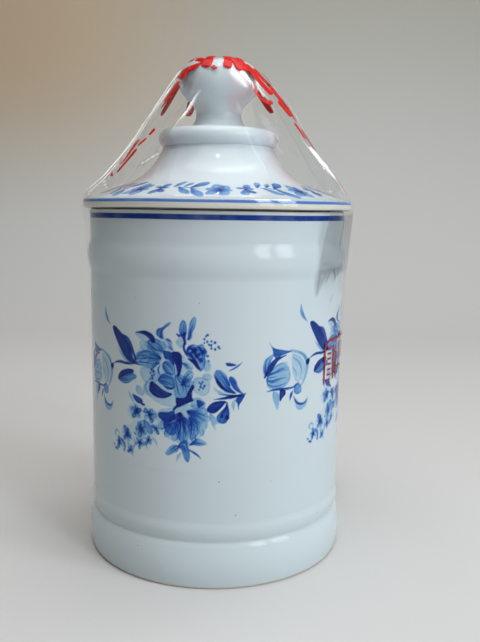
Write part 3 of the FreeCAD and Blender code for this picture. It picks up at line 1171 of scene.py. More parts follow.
    def sprigs(self) -> None:
        """The small loose flowers at the lower left."""
        wash, stroke = self.paint.wash, self.paint.stroke
        floret = self.paint.floret
        for centre, radius, turn in (
            ((-33.4, 73.6), 3.2, 20), ((-26.4, 73.2), 3.4, 70), ((-30.8, 66.4), 3.4, 40),
            ((-38.6, 62.6), 3.0, 10), ((-31.6, 60.4), 2.6, 55), ((-43.6, 58.2), 2.8, 30),
            ((-36.6, 56.4), 2.2, 0), ((-27, 62.2), 2.2, 15), ((-23.4, 67.6), 2.4, 80),
        ):
            floret(centre, radius, turn)
        wash(AQUA, 0.9, [(-30, 70), (-32, 68.6), (-31.4, 65.6), (-29.6, 64.8), (-28.6, 67)])
        petal = [(-29.5, 70.5), (-27.5, 70), (-25.8, 68.5), (-25, 66), (-25.8, 64.8), (-27.5, 65.5)]
        petal += [(-28.5, 67.5)]
        wash(BLUE, 0.9, petal, 0.7, 0.4)
        wash(AQUA, 0.65, [(-27, 74.8), (-24.5, 75.4), (-23, 73.4), (-24, 71), (-26.6, 71.4)])
        stroke(BLUE, 0.85, 0.9, [(-30.5, 74.5), (-29, 73.9), (-27.5, 74), (-25, 75.3)])
        wash(AQUA, 0.65, [(-37, 74.6), (-34, 75.6), (-31.6, 74.6), (-32.4, 71.4), (-35.4, 71)])
        wash(BLUE, 0.9, [(-33.2, 74.8), (-31, 75.2), (-30.8, 73.8), (-33, 72.8)], 0.8)
        leaf = [(-41, 65.8), (-39.5, 66.3), (-37.8, 64.8), (-36.5, 62.5), (-36, 61), (-38, 61.8)]
        leaf += [(-40, 63.8)]
        wash(BLUE, 0.95, leaf, 0.8, 0.4)
        wash(AQUA, 0.6, [(-33, 68), (-30.4, 67), (-29, 63), (-31.4, 62), (-33.6, 64.6)])
        stroke(BLUE, 0.8, 1.0, [(-34.6, 64.3), (-34, 63.8), (-33.2, 63.1)])
        crescent = [(-42.8, 60.3), (-40.6, 59.3), (-39.6, 57.3), (-40.2, 54.8), (-41, 55)]
        crescent += [(-40.9, 57.3), (-42, 59)]
        wash(BLUE, 0.9, crescent, 0.8)
        stroke(BLUE, 0.75, 1.0, [(-48, 56.8), (-47.2, 56.5), (-46.5, 56)])
        stroke(COBALT, 0.75, 1.1, [(-46.8, 55.3), (-45.6, 55), (-44.5, 54.5)])
        curl = [(-45, 60.5), (-46.6, 61.6), (-45.6, 63.2), (-43.8, 62.4), (-44.2, 60.8)]
        stroke(AQUA, 0.9, 1.1, curl)
        stroke(BLUE, 0.6, 0.8, [(-35, 62), (-34, 59.5), (-35.5, 56.5), (-34.8, 53.5)])
        stroke(BLUE, 0.65, 0.8, [(-30, 61.5), (-28.5, 60), (-27.3, 58)])
        stroke(AQUA, 0.8, 1.2, [(-38.5, 60), (-37.6, 57.6), (-38.2, 55)])
        stroke(AQUA, 0.8, 1.0, [(-25, 63.6), (-23.6, 62), (-22.8, 59.6)])

    def top_petals(self) -> None:
        """The tall petals over the bud."""
        wash, stroke = self.paint.wash, self.paint.stroke
        tall = [(-12.8, 107.5), (-13.2, 110.5), (-12, 113.2), (-10.7, 112.6), (-10.2, 109.8)]
        tall += [(-10.5, 107.3)]
        wash(BLUE, 0.95, tall, 0.8, 0.4, veins=2)
        fork = [(-14.5, 107.8), (-13.2, 107.4), (-12, 106.2), (-11.3, 104.6), (-11, 103.3)]
        fork += [(-10.4, 103.8), (-10.5, 106.2), (-10.6, 108.4), (-11.4, 108.2), (-12.4, 107.2)]
        fork += [(-13.4, 106.5)]
        wash(COBALT, 0.95, fork, 0.9, 0.2)
        pale = [(-9.8, 105.5), (-9.5, 109), (-8.8, 112.5), (-7.2, 114.8), (-6.3, 113.6)]
        pale += [(-6.8, 111), (-7.8, 108.5), (-8.2, 106.3)]
        wash(BLUE, 0.7, pale, 0.8, 0.4, veins=2)
        stroke(BLUE, 0.45, 0.7, [(-9.2, 106.5), (-8.4, 110), (-7, 113.4)])
        stroke(NAVY, 0.9, 0.9, [(-11, 104.8), (-11.3, 102.5), (-10.8, 100.5), (-10, 98.7)])
        wash(AQUA, 0.7, [(-14.5, 104.4), (-13, 106.2), (-11.4, 104.4), (-12.6, 102.2)])

    def bud(self) -> None:
        """The mottled bud at the right, with its stippled spray."""
        wash, stroke = self.paint.wash, self.paint.stroke
        body = [(-10.5, 99.8), (-9.5, 102.3), (-7.6, 103.8), (-5.8, 103.4), (-3.8, 104)]
        body += [(-2.8, 102), (-2.6, 98.5), (-2.8, 95.2), (-4.2, 93.1), (-5.5, 93.8), (-7, 95.8)]
        body += [(-8.8, 97.8)]
        wash(BLUE, 0.9, body, 0.9, 0.5, veins=5)
        stroke(NAVY, 0.95, 1.6, [(-9.5, 97.8), (-7, 96.5), (-5.5, 94.5), (-4.4, 93.8)])
        stroke(COBALT, 0.7, 1.0, [(-10.2, 100.8), (-9.2, 102.6), (-7.6, 103.6)])
        mottles = [(-8, 100.5), (-6.5, 101.5), (-5, 99.8), (-4.2, 97.5), (-3.5, 100.8), (-6.2, 98.8)]
        self.paint.dots(COBALT, 0.75, 1.4, mottles)
        stroke(NAVY, 0.9, 1.1, [(-8.8, 102.4), (-7.2, 101), (-6, 99), (-4.6, 96.4)])
        stroke(COBALT, 0.9, 0.9, [(-9.8, 100.2), (-8.4, 99.4), (-7.2, 97.8), (-6, 96.6)])
        stroke(NAVY, 0.8, 0.8, [(-5.6, 103), (-4.4, 101.4), (-3.6, 99)])
        stroke(COBALT, 0.8, 0.8, [(-3.4, 102.6), (-2.4, 101.2), (-2.2, 99.2)])
        stipple = [(-3, 104.5), (-1.8, 105), (-1.2, 103.8), (-0.3, 103.6), (-0.2, 102.3)]
        stipple += [(-2.4, 107.2), (-1.7, 107.7), (-0.2, 105.2), (1.2, 104.7), (2.6, 103)]
        stipple += [(3.1, 102.4), (1.3, 102), (-3, 106), (-1.2, 97.2), (-1.6, 99.2)]
        self.paint.dots(COBALT, 0.8, 0.8, stipple)
        wash(AQUA, 0.8, [(-3, 97), (-1.2, 97.4), (-0.5, 95), (-1, 93), (-2.8, 93.6)])
        wash(AQUA, 0.8, [(-3.5, 91.5), (-1.4, 92), (0, 90.6), (-0.6, 89.4), (-3, 89.8)])
        wash(AQUA, 0.6, [(-7, 89.5), (-4, 90.4), (-1, 88.6), (-1.2, 84.4), (-4, 83), (-6.8, 84.8)])
        seeds = [(-5, 88.3), (-4.2, 87.8), (-3.6, 88.6), (-4.4, 86.6), (-3.4, 86), (-5, 85.4)]
        self.paint.dots(COBALT, 0.85, 0.75, seeds + [(-2.8, 87)])

    def leaf_fan(self) -> None:
        """The fan of leaves at the right, which springs from one stalk."""
        wash, stroke = self.paint.wash, self.paint.stroke
        back = [(7.6, 87), (6.5, 90), (5.2, 92.3), (3, 93.5), (4.5, 91), (6.2, 88)]
        wash(BLUE, 0.6, back, 0.8, veins=2)
        first = [(10, 83.9), (8.3, 85.6), (6.5, 88), (4.8, 90.8), (3.2, 93), (2, 93.6)]
        first += [(1.2, 92.2), (0.9, 91.2), (1.8, 89.3), (3.6, 86.5), (5.8, 84.6), (8.3, 84)]
        wash(BLUE, 1.0, first, 0.95, 0.4, veins=4)
        stroke(NAVY, 0.95, 1.5, [(1.5, 90.8), (2.8, 88.3), (4.6, 86.2), (7, 84.5)])
        second = [(13, 83.7), (12, 84.6), (10.6, 86.8), (9.9, 89), (8.6, 90.6), (7.3, 90.8)]
        second += [(7, 89.6), (7.8, 87.8), (9, 85.8), (11, 84.3)]
        wash(COBALT, 0.92, second, 0.85, 0.45)
        wash(AQUA, 0.8, [(6, 83.7), (3, 85), (1, 86.5), (1.5, 85), (4, 83.6)])
        stroke(NAVY, 1.0, 1.2, [(13.8, 83.7), (9, 82.6), (5, 82), (1, 81.4)])
        stroke(NAVY, 0.9, 0.8, [(12.5, 83), (10, 83), (7, 83.2), (3, 83.6)])
        third = [(6, 80.6), (4, 80.9), (1.2, 80.4), (-0.8, 79), (-1.8, 77.2), (-0.6, 75.9)]
        third += [(1.2, 75.8), (3.2, 77.2), (5, 79.3)]
        wash(NAVY, 0.95, third, 0.85, 0.3)
        fourth = [(6.3, 80.5), (5.6, 78.5), (3.5, 76), (2.2, 74.3), (2.6, 72.5), (4, 71.5)]
        fourth += [(5.8, 71.8), (7, 73.8), (7.3, 76), (6.8, 78.5)]
        wash(COBALT, 0.8, fourth, 0.75, 0.4, veins=3)
        self.paint.dots(NAVY, 0.7, 1.5, [(4.3, 74.5), (6.5, 74)])
        pale = [(-0.5, 75.5), (1.5, 74), (3, 72), (1.5, 70.8), (1.8, 68.8), (0, 71.8)]
        wash(AQUA, 0.9, pale, 0.7)
        drop = [(13.5, 83.3), (12.5, 81), (11.3, 79.2), (11, 77.2), (10.6, 79.5), (9.8, 81.2)]
        drop += [(11, 82.6)]
        wash(COBALT, 0.9, drop, 0.8)
        stroke(AQUA, 0.8, 1.6, [(9.4, 81.4), (8.8, 79), (9.2, 76.6)])

    def fallen_leaves(self) -> None:
        """The small leaf that floats over the fan."""
        leaf = [(5.6, 96.3), (7, 96.5), (9, 96), (9.8, 95.6), (8.2, 95.1), (6.3, 95.3)]
        self.paint.wash(COBALT, 0.95, leaf, 0.9)
        self.paint.stroke(COBALT, 0.7, 0.7, [(7, 93.2), (9, 94.2), (11, 95.5), (12.3, 96.7)])

    def tulip(self) -> None:
        """The tulip's head, which belongs to the spray on its right."""
        wash, stroke = self.paint.wash, self.paint.stroke
        body = [(22.3, 89), (24, 91.5), (27, 93.3), (31, 94.3), (33, 91.5), (33.2, 88), (31, 85.2)]
        body += [(28, 84.2), (24.5, 84.3), (22.5, 86)]
        wash(AQUA, 1.0, body, 0.9, 0.4, veins=6)
        side = [(22.5, 91), (23, 93.5), (24, 96), (25, 98.7), (22.5, 97.8), (21, 96), (20.5, 93.5)]
        side += [(21.3, 89.3)]
        wash(BLUE, 0.6, side, 0.8, veins=3)
        top = [(22.8, 104.2), (24, 102.3), (26, 101.2), (28.5, 100.6), (31, 100), (33.5, 99.7)]
        top += [(31, 98.8), (28.5, 98), (26.5, 96.8), (25, 98.5), (24.6, 100.5), (23.8, 102.3)]
        wash(COBALT, 0.9, top, 0.75, 0.35)
        stroke(NAVY, 1.0, 2.4, [(21.3, 89.3), (23.3, 91.8), (24.8, 94.4), (27, 96.6), (30.8, 98)])
        stroke(BLUE, 0.8, 0.9, [(24.8, 92), (26.5, 93.6), (29, 94.6), (32, 94.9)])
        stroke(BLUE, 0.7, 0.8, [(26, 91), (28.5, 92.2), (31, 92.6)])
        stroke(BLUE, 0.45, 0.7, [(23.8, 86.6), (26.6, 88.2), (30.4, 88.8)])

    def tulip_cup(self) -> None:
        """The tulip's pale outer petals."""
        stroke = self.paint.stroke
        edge = [(33.5, 99.8), (37, 99), (40.5, 97), (42.3, 94), (42.3, 91), (41.3, 87.8)]
        stroke(AQUA, 1.0, 2.0, edge + [(39.5, 85), (37, 83)], 0.7)
        inner = [(34, 97.6), (38.4, 96.6), (41, 92.6), (39.4, 87), (35.6, 87.6)]
        self.paint.wash(AQUA, 0.55, inner)
        stroke(BLUE, 0.6, 0.7, [(34.5, 96.8), (37.6, 94.6), (39.2, 91), (38.6, 87.6)])
        stroke(BLUE, 0.45, 0.7, [(34.4, 92.6), (36.2, 90.4), (36.6, 87.4)])
        stroke(BLUE, 0.6, 0.7, [(37.2, 99), (40.4, 97.2), (42.2, 94.2), (42.4, 91.4)])

    def tulip_stem(self) -> None:
        """The calyx and the curling stem."""
        wash, stroke = self.paint.wash, self.paint.stroke
        line = [(22.5, 83.5), (26, 84), (31, 83.9), (35, 84.2), (38, 86)]
        stroke(COBALT, 0.9, 1.0, line)
        calyx = [(28.5, 83.7), (30.5, 83.6), (31, 81.9), (29.3, 80.2), (28.3, 79), (28, 81.3)]
        wash(NAVY, 1.0, calyx, 0.9)
        right = [(35.6, 84.8), (37.5, 85.6), (39, 84.2), (39.2, 82), (37, 81), (35.3, 82.2)]
        wash(BLUE, 0.9, right, 0.7)
        stroke(COBALT, 0.85, 1.2, [(34.5, 82.5), (33.6, 80.8), (33, 78.7)])
        pale = [(25.3, 83.3), (27.5, 82), (27.6, 79), (26.8, 75.8), (25.8, 78), (25, 80.6)]
        wash(AQUA, 1.0, pale, 0.7)
        stroke(COBALT, 0.85, 1.0, [(35, 80.3), (36.3, 77.8), (38.5, 76.6), (41, 76.6), (42.8, 78)])
        crescent = [(36.2, 79), (38, 77), (41, 77.2), (43, 79), (42.4, 76.3), (40, 74.3), (37.5, 74.5)]
        wash(AQUA, 0.9, crescent + [(36, 76.3)], 0.8)


@dataclass
class Garland:
    """The lid's border. Across is measured round a circle of 50 mm, and up is inward from the rim."""

    paint: Canvas
    repeats: int = 9
    circle: float = 50.0

    def draw(self) -> None:
        """Paints each repeat."""
        period = 2 * math.pi * self.circle / self.repeats
        for number in range(self.repeats):
            place = number - self.repeats // 2
            self.paint.shift = (place * period, 0.25 * math.sin(2.3 * place))
            self.leaves()
            self.flower()
            self.cluster()

    def flower(self) -> None:
        """The five-petalled flower."""
        wash, stroke = self.paint.wash, self.paint.stroke
        tips = [(-2, 5), (1, 18), (6, 16), (7.4, 10), (4.4, 3.6), (-3, 12)]
        for tip_x, tip_y in tips:
            mid_x, mid_y = (tip_x + 2.8) / 2, (tip_y + 10.4) / 2
            turn_x, turn_y = (tip_y - 10.4) * 0.36, (2.8 - tip_x) * 0.36
            sides = [(2.8, 10.4), (mid_x + turn_x, mid_y + turn_y), (tip_x, tip_y)]
            wash(BLUE, 0.72, sides + [(mid_x - turn_x, mid_y - turn_y)], 0.8, 0.3)
            stroke(COBALT, 0.5, 1.0, [(2.8, 10.4), (mid_x, mid_y)])
        self.paint.dots(NAVY, 0.8, 2.0, [(2.8, 10.4)])

    def leaves(self) -> None:
        """The leaves to the left of the flower."""
        petal = self.paint.petal
        petal(COBALT, 0.6, (-9.4, 12.6), (-2.4, 20.2), 4.4, 0.8)
        petal(BLUE, 0.85, (-9, 12.4), (-3.6, 2.6), 4.0, 0.8)
        petal(BLUE, 0.75, (-14.8, 13.6), (-9, 5.4), 3.4, 0.8)
        petal(BLUE, 0.85, (-17, 13.4), (-14, 20.2), 3.0, 0.8)
        petal(BLUE, 0.7, (-12.4, 14), (-9.6, 19), 2.4, 0.8)
        self.paint.stroke(BLUE, 0.9, 1.0, [(-16.6, 13.4), (-12, 13), (-8, 12.2), (-4, 11.4)])

    def cluster(self) -> None:
        """The small flowers to the right of it."""
        petal = self.paint.petal
        petal(BLUE, 1.0, (12.6, 11.8), (14.6, 17.4), 3.2, 0.8)
        petal(BLUE, 1.0, (12.6, 11.8), (10.8, 5.2), 3.2, 0.8)
        petal(COBALT, 0.75, (12.6, 11.6), (15.2, 7), 2.8, 0.8)
        petal(BLUE, 0.8, (12.6, 12), (9.4, 13.8), 2.4, 0.8)
        petal(BLUE, 0.8, (12.6, 12), (16, 12.6), 2.2, 0.8)


# ------------------------------------------------------------------------------- porcelain


@dataclass
class PaintedWall:
    """The four sprays round the jar's wall, each on its own painted skin."""

    low: float = 50.0
    high: float = 119.0
    step: float = 0.3
    lift: float = 0.05
    sprays: int = 4
    rises: tuple[float, ...] = (0.0, 3.5, 1.0, 2.0)
    start: float = -74.0
    below: float = 2.0
    above: float = 6.0

    def build(self, glaze: Material) -> None:
        """Paints the sprays and lays them on the wall.

        Args:
            glaze: The material that shows the ink.
        """
        face = TurnedFace("jar_body", self.low - self.below, self.high + self.above)
        radius = float(np.median(face.radii))
        period = 2 * math.pi * radius / MM / self.sprays
        for number in range(self.sprays):
            end = self.start + period
            canvas = Canvas(self.start, end, self.low, self.high, self.step, 1000 * number)
            flat_x, flat_y = canvas.x, canvas.y
            if number:
                canvas.wander(1.6, 22.0, (40 + number, 60 + number))
            Bouquet(canvas).draw()
            azimuth = (flat_x + number * period) * MM / radius
            rise = self.rises[number] - (self.low - self.below)
            along = (flat_y + rise) * MM
            name = f"painted_spray_{number + 1}"
            mesh = grid_mesh(name, face.points(azimuth, along, self.lift * MM), False)
            colour_attribute(mesh, INK_ATTRIBUTE, 1 - canvas.light)
            mesh.materials.append(glaze)
            piece = shown(name, mesh)
            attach(piece, "jar")
            LOG.info("%s: %d faces", name, len(mesh.polygons))


@dataclass
class PaintedLid:
    """The garland round the lid's shoulder, on one closed painted skin."""

    low: float = 161.0
    high: float = 178.0
    reach: float = 23.0
    step: float = 0.34
    lift: float = 0.05
    circle: float = 50.0

    def build(self, glaze: Material) -> None:
        """Paints the garland and lays it on the lid.

        Args:
            glaze: The material that shows the ink.
        """
        face = TurnedFace("lid", self.low, self.high)
        half = math.pi * self.circle
        canvas = Canvas(-half, half, 0.2, self.reach, self.step, 7000)
        flat_x, flat_y = canvas.x, canvas.y
        canvas.wander(1.2, 15.0, (77, 78))
        Garland(canvas, circle=self.circle).draw()
        azimuth = flat_x[:, :-1] / self.circle
        points = face.points(azimuth, flat_y[:, :-1] * MM, self.lift * MM)
        mesh = grid_mesh("painted_garland", points, True)
        colour_attribute(mesh, INK_ATTRIBUTE, 1 - canvas.light[:, :-1])
        mesh.materials.append(glaze)
        piece = shown("painted_garland", mesh)
        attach(piece, "lid_body")
        LOG.info("painted_garland: %d faces", len(mesh.polygons))


@dataclass
class GlazeSpecks:
    """Iron specks that the firing leaves in the jar's glaze, in millimetres."""

    low: float = 3.0
    high: float = 126.0
    per_square_metre: float = 1300.0
    radius: float = 0.19
    seed: int = 4

    def pattern(self) -> Pattern:
        """Builds the tree: flat lenses scattered over a surface.

        Returns:
            The tree.
        """
        sizes = {"Density": self.per_square_metre, "Radius": self.radius * MM, "Seed": self.seed}
        tree = Pattern("glaze_specks", sizes)
        given = tree.given
        places = tree.node(
            "GeometryNodeDistributePointsOnFaces",
            {"distribute_method": "RANDOM"},
            {"Mesh": given["Ground"], "Density": given["Density"], "Seed": given["Seed"]},
        )
        round_size = {"Radius": given["Radius"], "Subdivisions": 2}
        ball = tree.node("GeometryNodeMeshIcoSphere", {}, round_size)
        flattened = {"Geometry": ball.outputs[0], "Scale": (1.0, 0.8, 0.4)}
        lens = tree.node("GeometryNodeTransform", {}, flattened)
        spread = {2: 0.5, 3: 1.5, "Seed": given["Seed"]}
        size = tree.node("FunctionNodeRandomValue", {"data_type": "FLOAT"}, spread)
        inputs = {
            "Points": places.outputs["Points"],
            "Instance": lens.outputs[0],
            "Rotation": places.outputs["Rotation"],
            "Scale": size.outputs[1],
        }
        copies = tree.node("GeometryNodeInstanceOnPoints", {}, inputs)
        tree.end_with(copies.outputs[0])
        return tree

    def build(self, finish: Material) -> None:
        """Scatters the specks over the wall and the base.

        Args:
            finish: The specks' material.
        """
        face = TurnedFace("jar_body", self.low, self.high)
        azimuth, along = np.meshgrid(
            np.linspace(0, 2 * math.pi, 96, endpoint=False), face.distance[::4]
        )
        wall = grid_mesh("glaze_ground", face.points(azimuth, along, 0.0), True)
        piece = self.pattern().made_on(wall, finish)
        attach(piece, "jar")
        LOG.info("%s: %d faces", piece.name, len(piece.data.polygons))


# ------------------------------------------------------------------------------------ film


@dataclass(frozen=True)
class Crease:
    """A sharp fold that runs down the film, in degrees and millimetres."""

    top: float
    low: float
    start: float
    end: float
    depth: float
    # painted glint along the fold
    painted_light: float
    width: float = 0.7


@dataclass(frozen=True)
class Streak:
    """A painted line or patch on the film, used for white painted glints and for painted shade: places
    as azimuth and height.
    """

    places: tuple[Point, ...]
    width: float
    painted_light: float


@dataclass
class FilmHood:
    """Clear film shrunk over the knob, the lid's rim and the upper wall."""

    columns: int = 400
    rows: int = 110
    thickness: float = 0.07
    cone_foot: Point = (163, 170)
    cone_head: Point = (214, 221)
    hem_heights: Point = (82, 104)
    cling_heights: Point = (128, 160)
    rim_glint_height: float = 160.9
    fold_heights: tuple[float, ...] = (82, 112, 123, 134, 147, 163)
    fold_degrees: tuple[float, ...] = (72, 56, 46.8, 46.2, 47.8, 52)
    plain: tuple[Point, ...] = (
        (0, 223.6), (8, 223.55), (12.5, 223.2), (14.6, 221.9), (22.3, 212), (28.5, 204),
        (34.8, 196), (41.4, 187.5), (48.8, 178), (55, 170), (60.9, 162.6), (62.0, 160.4),
        (62.1, 156.5), (61.3, 150), (60.25, 139), (59.7, 131), (58.95, 123), (58.85, 100),
        (58.85, 82),
    )
    left: tuple[Point, ...] = (
        (0, 223.6), (8, 223.55), (12.5, 223.2), (14.5, 221.6), (21.3, 212), (26.8, 204),
        (31.6, 197), (37.4, 188), (44.0, 179), (52.0, 170.5), (60.6, 163), (62.0, 160.4),
        (62.1, 156.5), (60.7, 150), (60.1, 139), (59.75, 131), (58.95, 123), (58.85, 100),
        (58.85, 82),
    )
    right: tuple[Point, ...] = (
        (0, 223.6), (8, 223.55), (12.6, 223.3), (14.9, 222.1), (24.6, 212), (31.4, 204.2),
        (36.4, 196), (41.8, 187.6), (48.9, 178.2), (55.2, 169.9), (60.9, 162.4), (62.1, 160.4),
        (62.4, 156.5), (62.0, 150), (61.1, 139), (60.5, 131), (59.8, 123), (58.95, 100),
        (58.85, 82),
    )
    creases: tuple[Crease, ...] = (
        Crease(-84, -72, 221, 163, 0.9, 1.0, 1.4),
        Crease(-73, -62, 214, 166, 0.7, 1.0, 0.9),
        Crease(-64, -55, 207, 174, 0.5, 0.8, 0.6),
        Crease(-95, -88, 220, 163, 0.8, 1.0, 1.8),
        Crease(-50, -52, 216, 176, 0.5, 0.3, 0.5),
        Crease(-16, -36, 207, 172, 0.5, 0.25, 0.5),
        Crease(14, 24, 205, 170, 0.3, 0.04, 0.5),
        Crease(48, 50, 214, 165, 0.5, 0.2, 0.5),
        Crease(72, 68, 219, 163, 0.9, 0.7, 0.5),
        Crease(92, 88, 221, 163, 0.9, 0.9, 0.5),
        Crease(112, 106, 219, 164, 0.8, 0.35, 0.45),
        Crease(138, 146, 220, 164, 0.7, 0.3, 0.45),
        Crease(172, 166, 218, 163, 0.8, 0.35, 0.45),
        Crease(-160, -152, 220, 165, 0.7, 0.3, 0.45),
        Crease(-128, -118, 219, 163, 0.8, 0.4, 0.45),
        Crease(82, 84, 160, 96, 0.35, 0.15, 0.6),
        Crease(-96, -93, 160, 118, 0.3, 0.35, 0.5),
        Crease(-82, -84, 159, 128, 0.25, 0.25, 0.4),
    )
    # painted glints: white lines and patches where the film catches the light
    streaks: tuple[Streak, ...] = (
        Streak(((-28, 179.5), (-33, 176.6), (-38, 174)), 0.9, 0.75),
        Streak(((-18, 203.5), (-20, 200), (-22, 196.5), (-25.5, 193.2)), 0.8, 0.55),
        Streak(((-24, 204), (-26, 200), (-30, 196)), 0.6, 0.35),
        Streak(((-50, 165), (-62, 169), (-66, 173)), 0.8, 0.8),
        Streak(((-62, 161), (-66, 164.5), (-60, 168.5)), 0.8, 0.8),
        Streak(((-58, 205), (-60, 196), (-62, 186), (-60, 176)), 2.2, 0.5),
        Streak(((-66, 206), (-69, 196), (-72, 184), (-72, 176)), 1.4, 1.0),
        Streak(((-55, 203), (-54, 194), (-52, 186)), 0.8, 0.6),
        Streak(((62, 188), (63.5, 180), (65, 175)), 1.0, 0.7),
        Streak(((65.5, 184), (66.5, 180), (67.5, 176)), 2.6, 1.0),
        Streak(((65, 178), (68.5, 176.4), (72, 175)), 2.2, 1.0),
        Streak(((67.5, 176), (69.5, 171), (71.5, 165.8)), 2.2, 1.0),
        Streak(((61, 176), (65, 174.5), (69, 171.5)), 0.9, 0.8),
        Streak(((44, 166.5), (56, 165), (68, 163.4)), 0.6, 0.45),
        Streak(((30, 216), (40, 211), (44, 206)), 2.4, 0.28),
        Streak(((14, 219), (24, 214), (30, 209)), 2.2, 0.22),
        Streak(((47.5, 134.6), (54, 134.2), (66, 133.6)), 0.7, 0.35),
    )
    # painted shade: dark lines along the wrinkles and the edges of the fold
    shades: tuple[Streak, ...] = (
        Streak(((47.4, 132), (47, 127), (46.6, 121.5)), 1.0, 1.2),
        Streak(((52.5, 132), (50, 128.6), (47.6, 124)), 1.2, 0.6),
        Streak(((55.4, 133), (53.4, 130), (51.4, 126.6)), 0.6, 1.3),
        Streak(((57, 133), (58.4, 131), (59.6, 128.6)), 0.6, 2.6),
        Streak(((65, 133.4), (62, 131), (60.6, 129.6)), 0.8, 1.6),
        Streak(((60, 122.6), (57.6, 119.6), (56, 117.6)), 0.5, 1.2),
        Streak(((70, 118), (66, 112), (63.5, 106)), 0.7, 0.5),
        Streak(((46.5, 131.8), (58, 131.9), (84, 131)), 0.8, 0.6),
        Streak(((62.4, 154), (61.4, 147), (60.6, 138)), 0.6, 1.2),
        Streak(((44, 167.5), (50, 165.8), (55, 164.6)), 0.5, 0.8),
        Streak(((42, 183.5), (44.5, 180.5), (44.8, 177.6)), 0.6, 0.7),
    )
    grid: Array = field(init=False)
    heights: Array = field(init=False)
    azimuth: Array = field(init=False)

    def __post_init__(self) -> None:
        """Works out the smooth film, before its creases."""
        plain, left, right = (self.even(way) for way in (self.plain, self.left, self.right))
        self.heights = plain[:, 1]
        self.azimuth = np.arange(self.columns) * 2 * np.pi / self.columns - np.pi
        side = np.sin(self.azimuth)
        to_right = np.clip(side, 0, 1)[None, :, None] ** 3
        to_left = np.clip(-side, 0, 1)[None, :, None] ** 3
        base = plain[:, None, :] * (1 - to_left - to_right)
        self.grid = (base + left[:, None, :] * to_left + right[:, None, :] * to_right) * MM

    def even(self, way: Sequence[Point]) -> Array:
        """Resamples a profile to the film's rows, at the same shares of its points.

        Args:
            way: The profile, as radius and height, with as many points as the plain one.

        Returns:
            Array of shape (rows, 2).
        """
        points = np.array(way, float)
        model = np.array(self.plain, float)
        steps = np.hypot(*np.diff(model, axis=0).T)
        share = np.concatenate([[0], np.cumsum(steps)]) / steps.sum()
        wanted = np.linspace(0.006, 1, self.rows)
        return np.stack([np.interp(wanted, share, points[:, k]) for k in range(2)], -1)

    def place(self, azimuth: Array, height: Array, lift: float = 0.0) -> Array:
        """Points on the creaseless film, in metres.

        Args:
            azimuth: In degrees.
            height: In millimetres on the plain profile.
            lift: How far off the film, in millimetres.

        Returns:
            Array of points.
        """
        row = np.interp(-np.asarray(height, float), -self.heights, np.arange(self.rows))
        column = (np.radians(np.asarray(azimuth, float)) + np.pi) / (2 * np.pi) * self.columns
        i = np.clip(np.floor(row).astype(int), 0, self.rows - 2)
        j = np.floor(column).astype(int)
        fi, fj = (row - i)[..., None], (column - j)[..., None]
        j0, j1 = j % self.columns, (j + 1) % self.columns
        upper = self.grid[i, j0] * (1 - fj) + self.grid[i, j1] * fj
        lower = self.grid[i + 1, j0] * (1 - fj) + self.grid[i + 1, j1] * fj
        spot = upper * (1 - fi) + lower * fi
        way = (lower - upper) / np.linalg.norm(lower - upper, axis=-1, keepdims=True)
        radius = spot[..., 0] - way[..., 1] * lift * MM
        rise = spot[..., 1] + way[..., 0] * lift * MM
        return around(np.radians(np.asarray(azimuth, float)), radius, rise)

    def crease_shape(self) -> tuple[Array, Array]:
        """Works out what the creases do.

        Returns:
            How far they lift the film, in millimetres, and how strongly they carry painted glints.
        """
        lift = np.zeros(self.grid.shape[:2])
        painted_light = np.zeros(self.grid.shape[:2])
        height = self.heights[:, None]
        for number, crease in enumerate(self.creases):
            share = np.clip((crease.start - height) / (crease.start - crease.end), 0, 1)
            wander = 1.2 * np.sin(height / 7.0 + number * 1.7)
            middle = crease.top + (crease.low - crease.top) * share + wander
            gap = (np.degrees(self.azimuth)[None, :] - middle + 180) % 360 - 180
            arc = np.radians(np.abs(gap)) * self.grid[..., 0] / MM
            ends = soft_step(height, crease.end - 3, crease.end + 3)
            ends = ends * (1 - soft_step(height, crease.start - 4, crease.start + 1))
            lift += ends * crease.depth * np.exp(-arc / 2.4)
            broken = cloud(height + number * 31.0, np.full_like(height, 3.0), 6.0, 5 + number)
            glint = 0.35 + 0.65 * soft_step(broken, 0.25, 0.7)
            painted_light = np.maximum(painted_light, ends * crease.painted_light * glint * np.exp(-((arc / crease.width) ** 2)))
        return lift, painted_light

    def painted_lines(self, streaks: Sequence[Streak], corners: Array) -> Array:
        """Works out how strongly painted glint lines and painted shade lines mark the film.

        Args:
            streaks: The streaks.
            corners: The film's corners, in metres.

        Returns:
            One value for each corner.
        """
        painted_light = np.zeros(corners.shape[:2])
        for streak in streaks:
            path = smooth_line(streak.places, False, 5)
            line = self.place(path[:, 0], path[:, 1])
            share = np.linspace(-1, 1, len(line) - 1)
            for k in range(len(line) - 1):
                start, run = line[k], line[k + 1] - line[k]
                t = np.clip(((corners - start) @ run) / (run @ run), 0, 1)
                gap = np.linalg.norm(corners - start - t[..., None] * run, axis=-1) / MM
                width = streak.width * (0.35 + 0.65 * (1 - share[k] ** 2))
                painted_light = np.maximum(painted_light, streak.painted_light * np.exp(-((gap / width) ** 2)))
        return painted_light

    def fold_shade(self) -> Array:
        """Marks where the film lies double, which is painted as shade: a strip down the right side,
        behind a slanted edge.

        Returns:
            One value for each corner.
        """
        height = self.heights[:, None]
        degrees = np.degrees(self.azimuth)[None, :]
        edge = np.interp(height, self.fold_heights, self.fold_degrees)
        strip = soft_step(degrees, edge - 0.5, edge + 0.5) * (1 - soft_step(degrees, 76, 80))
        fade = soft_step(height, 118, 138) * (1 - soft_step(height, 155, 158))
        return strip * fade

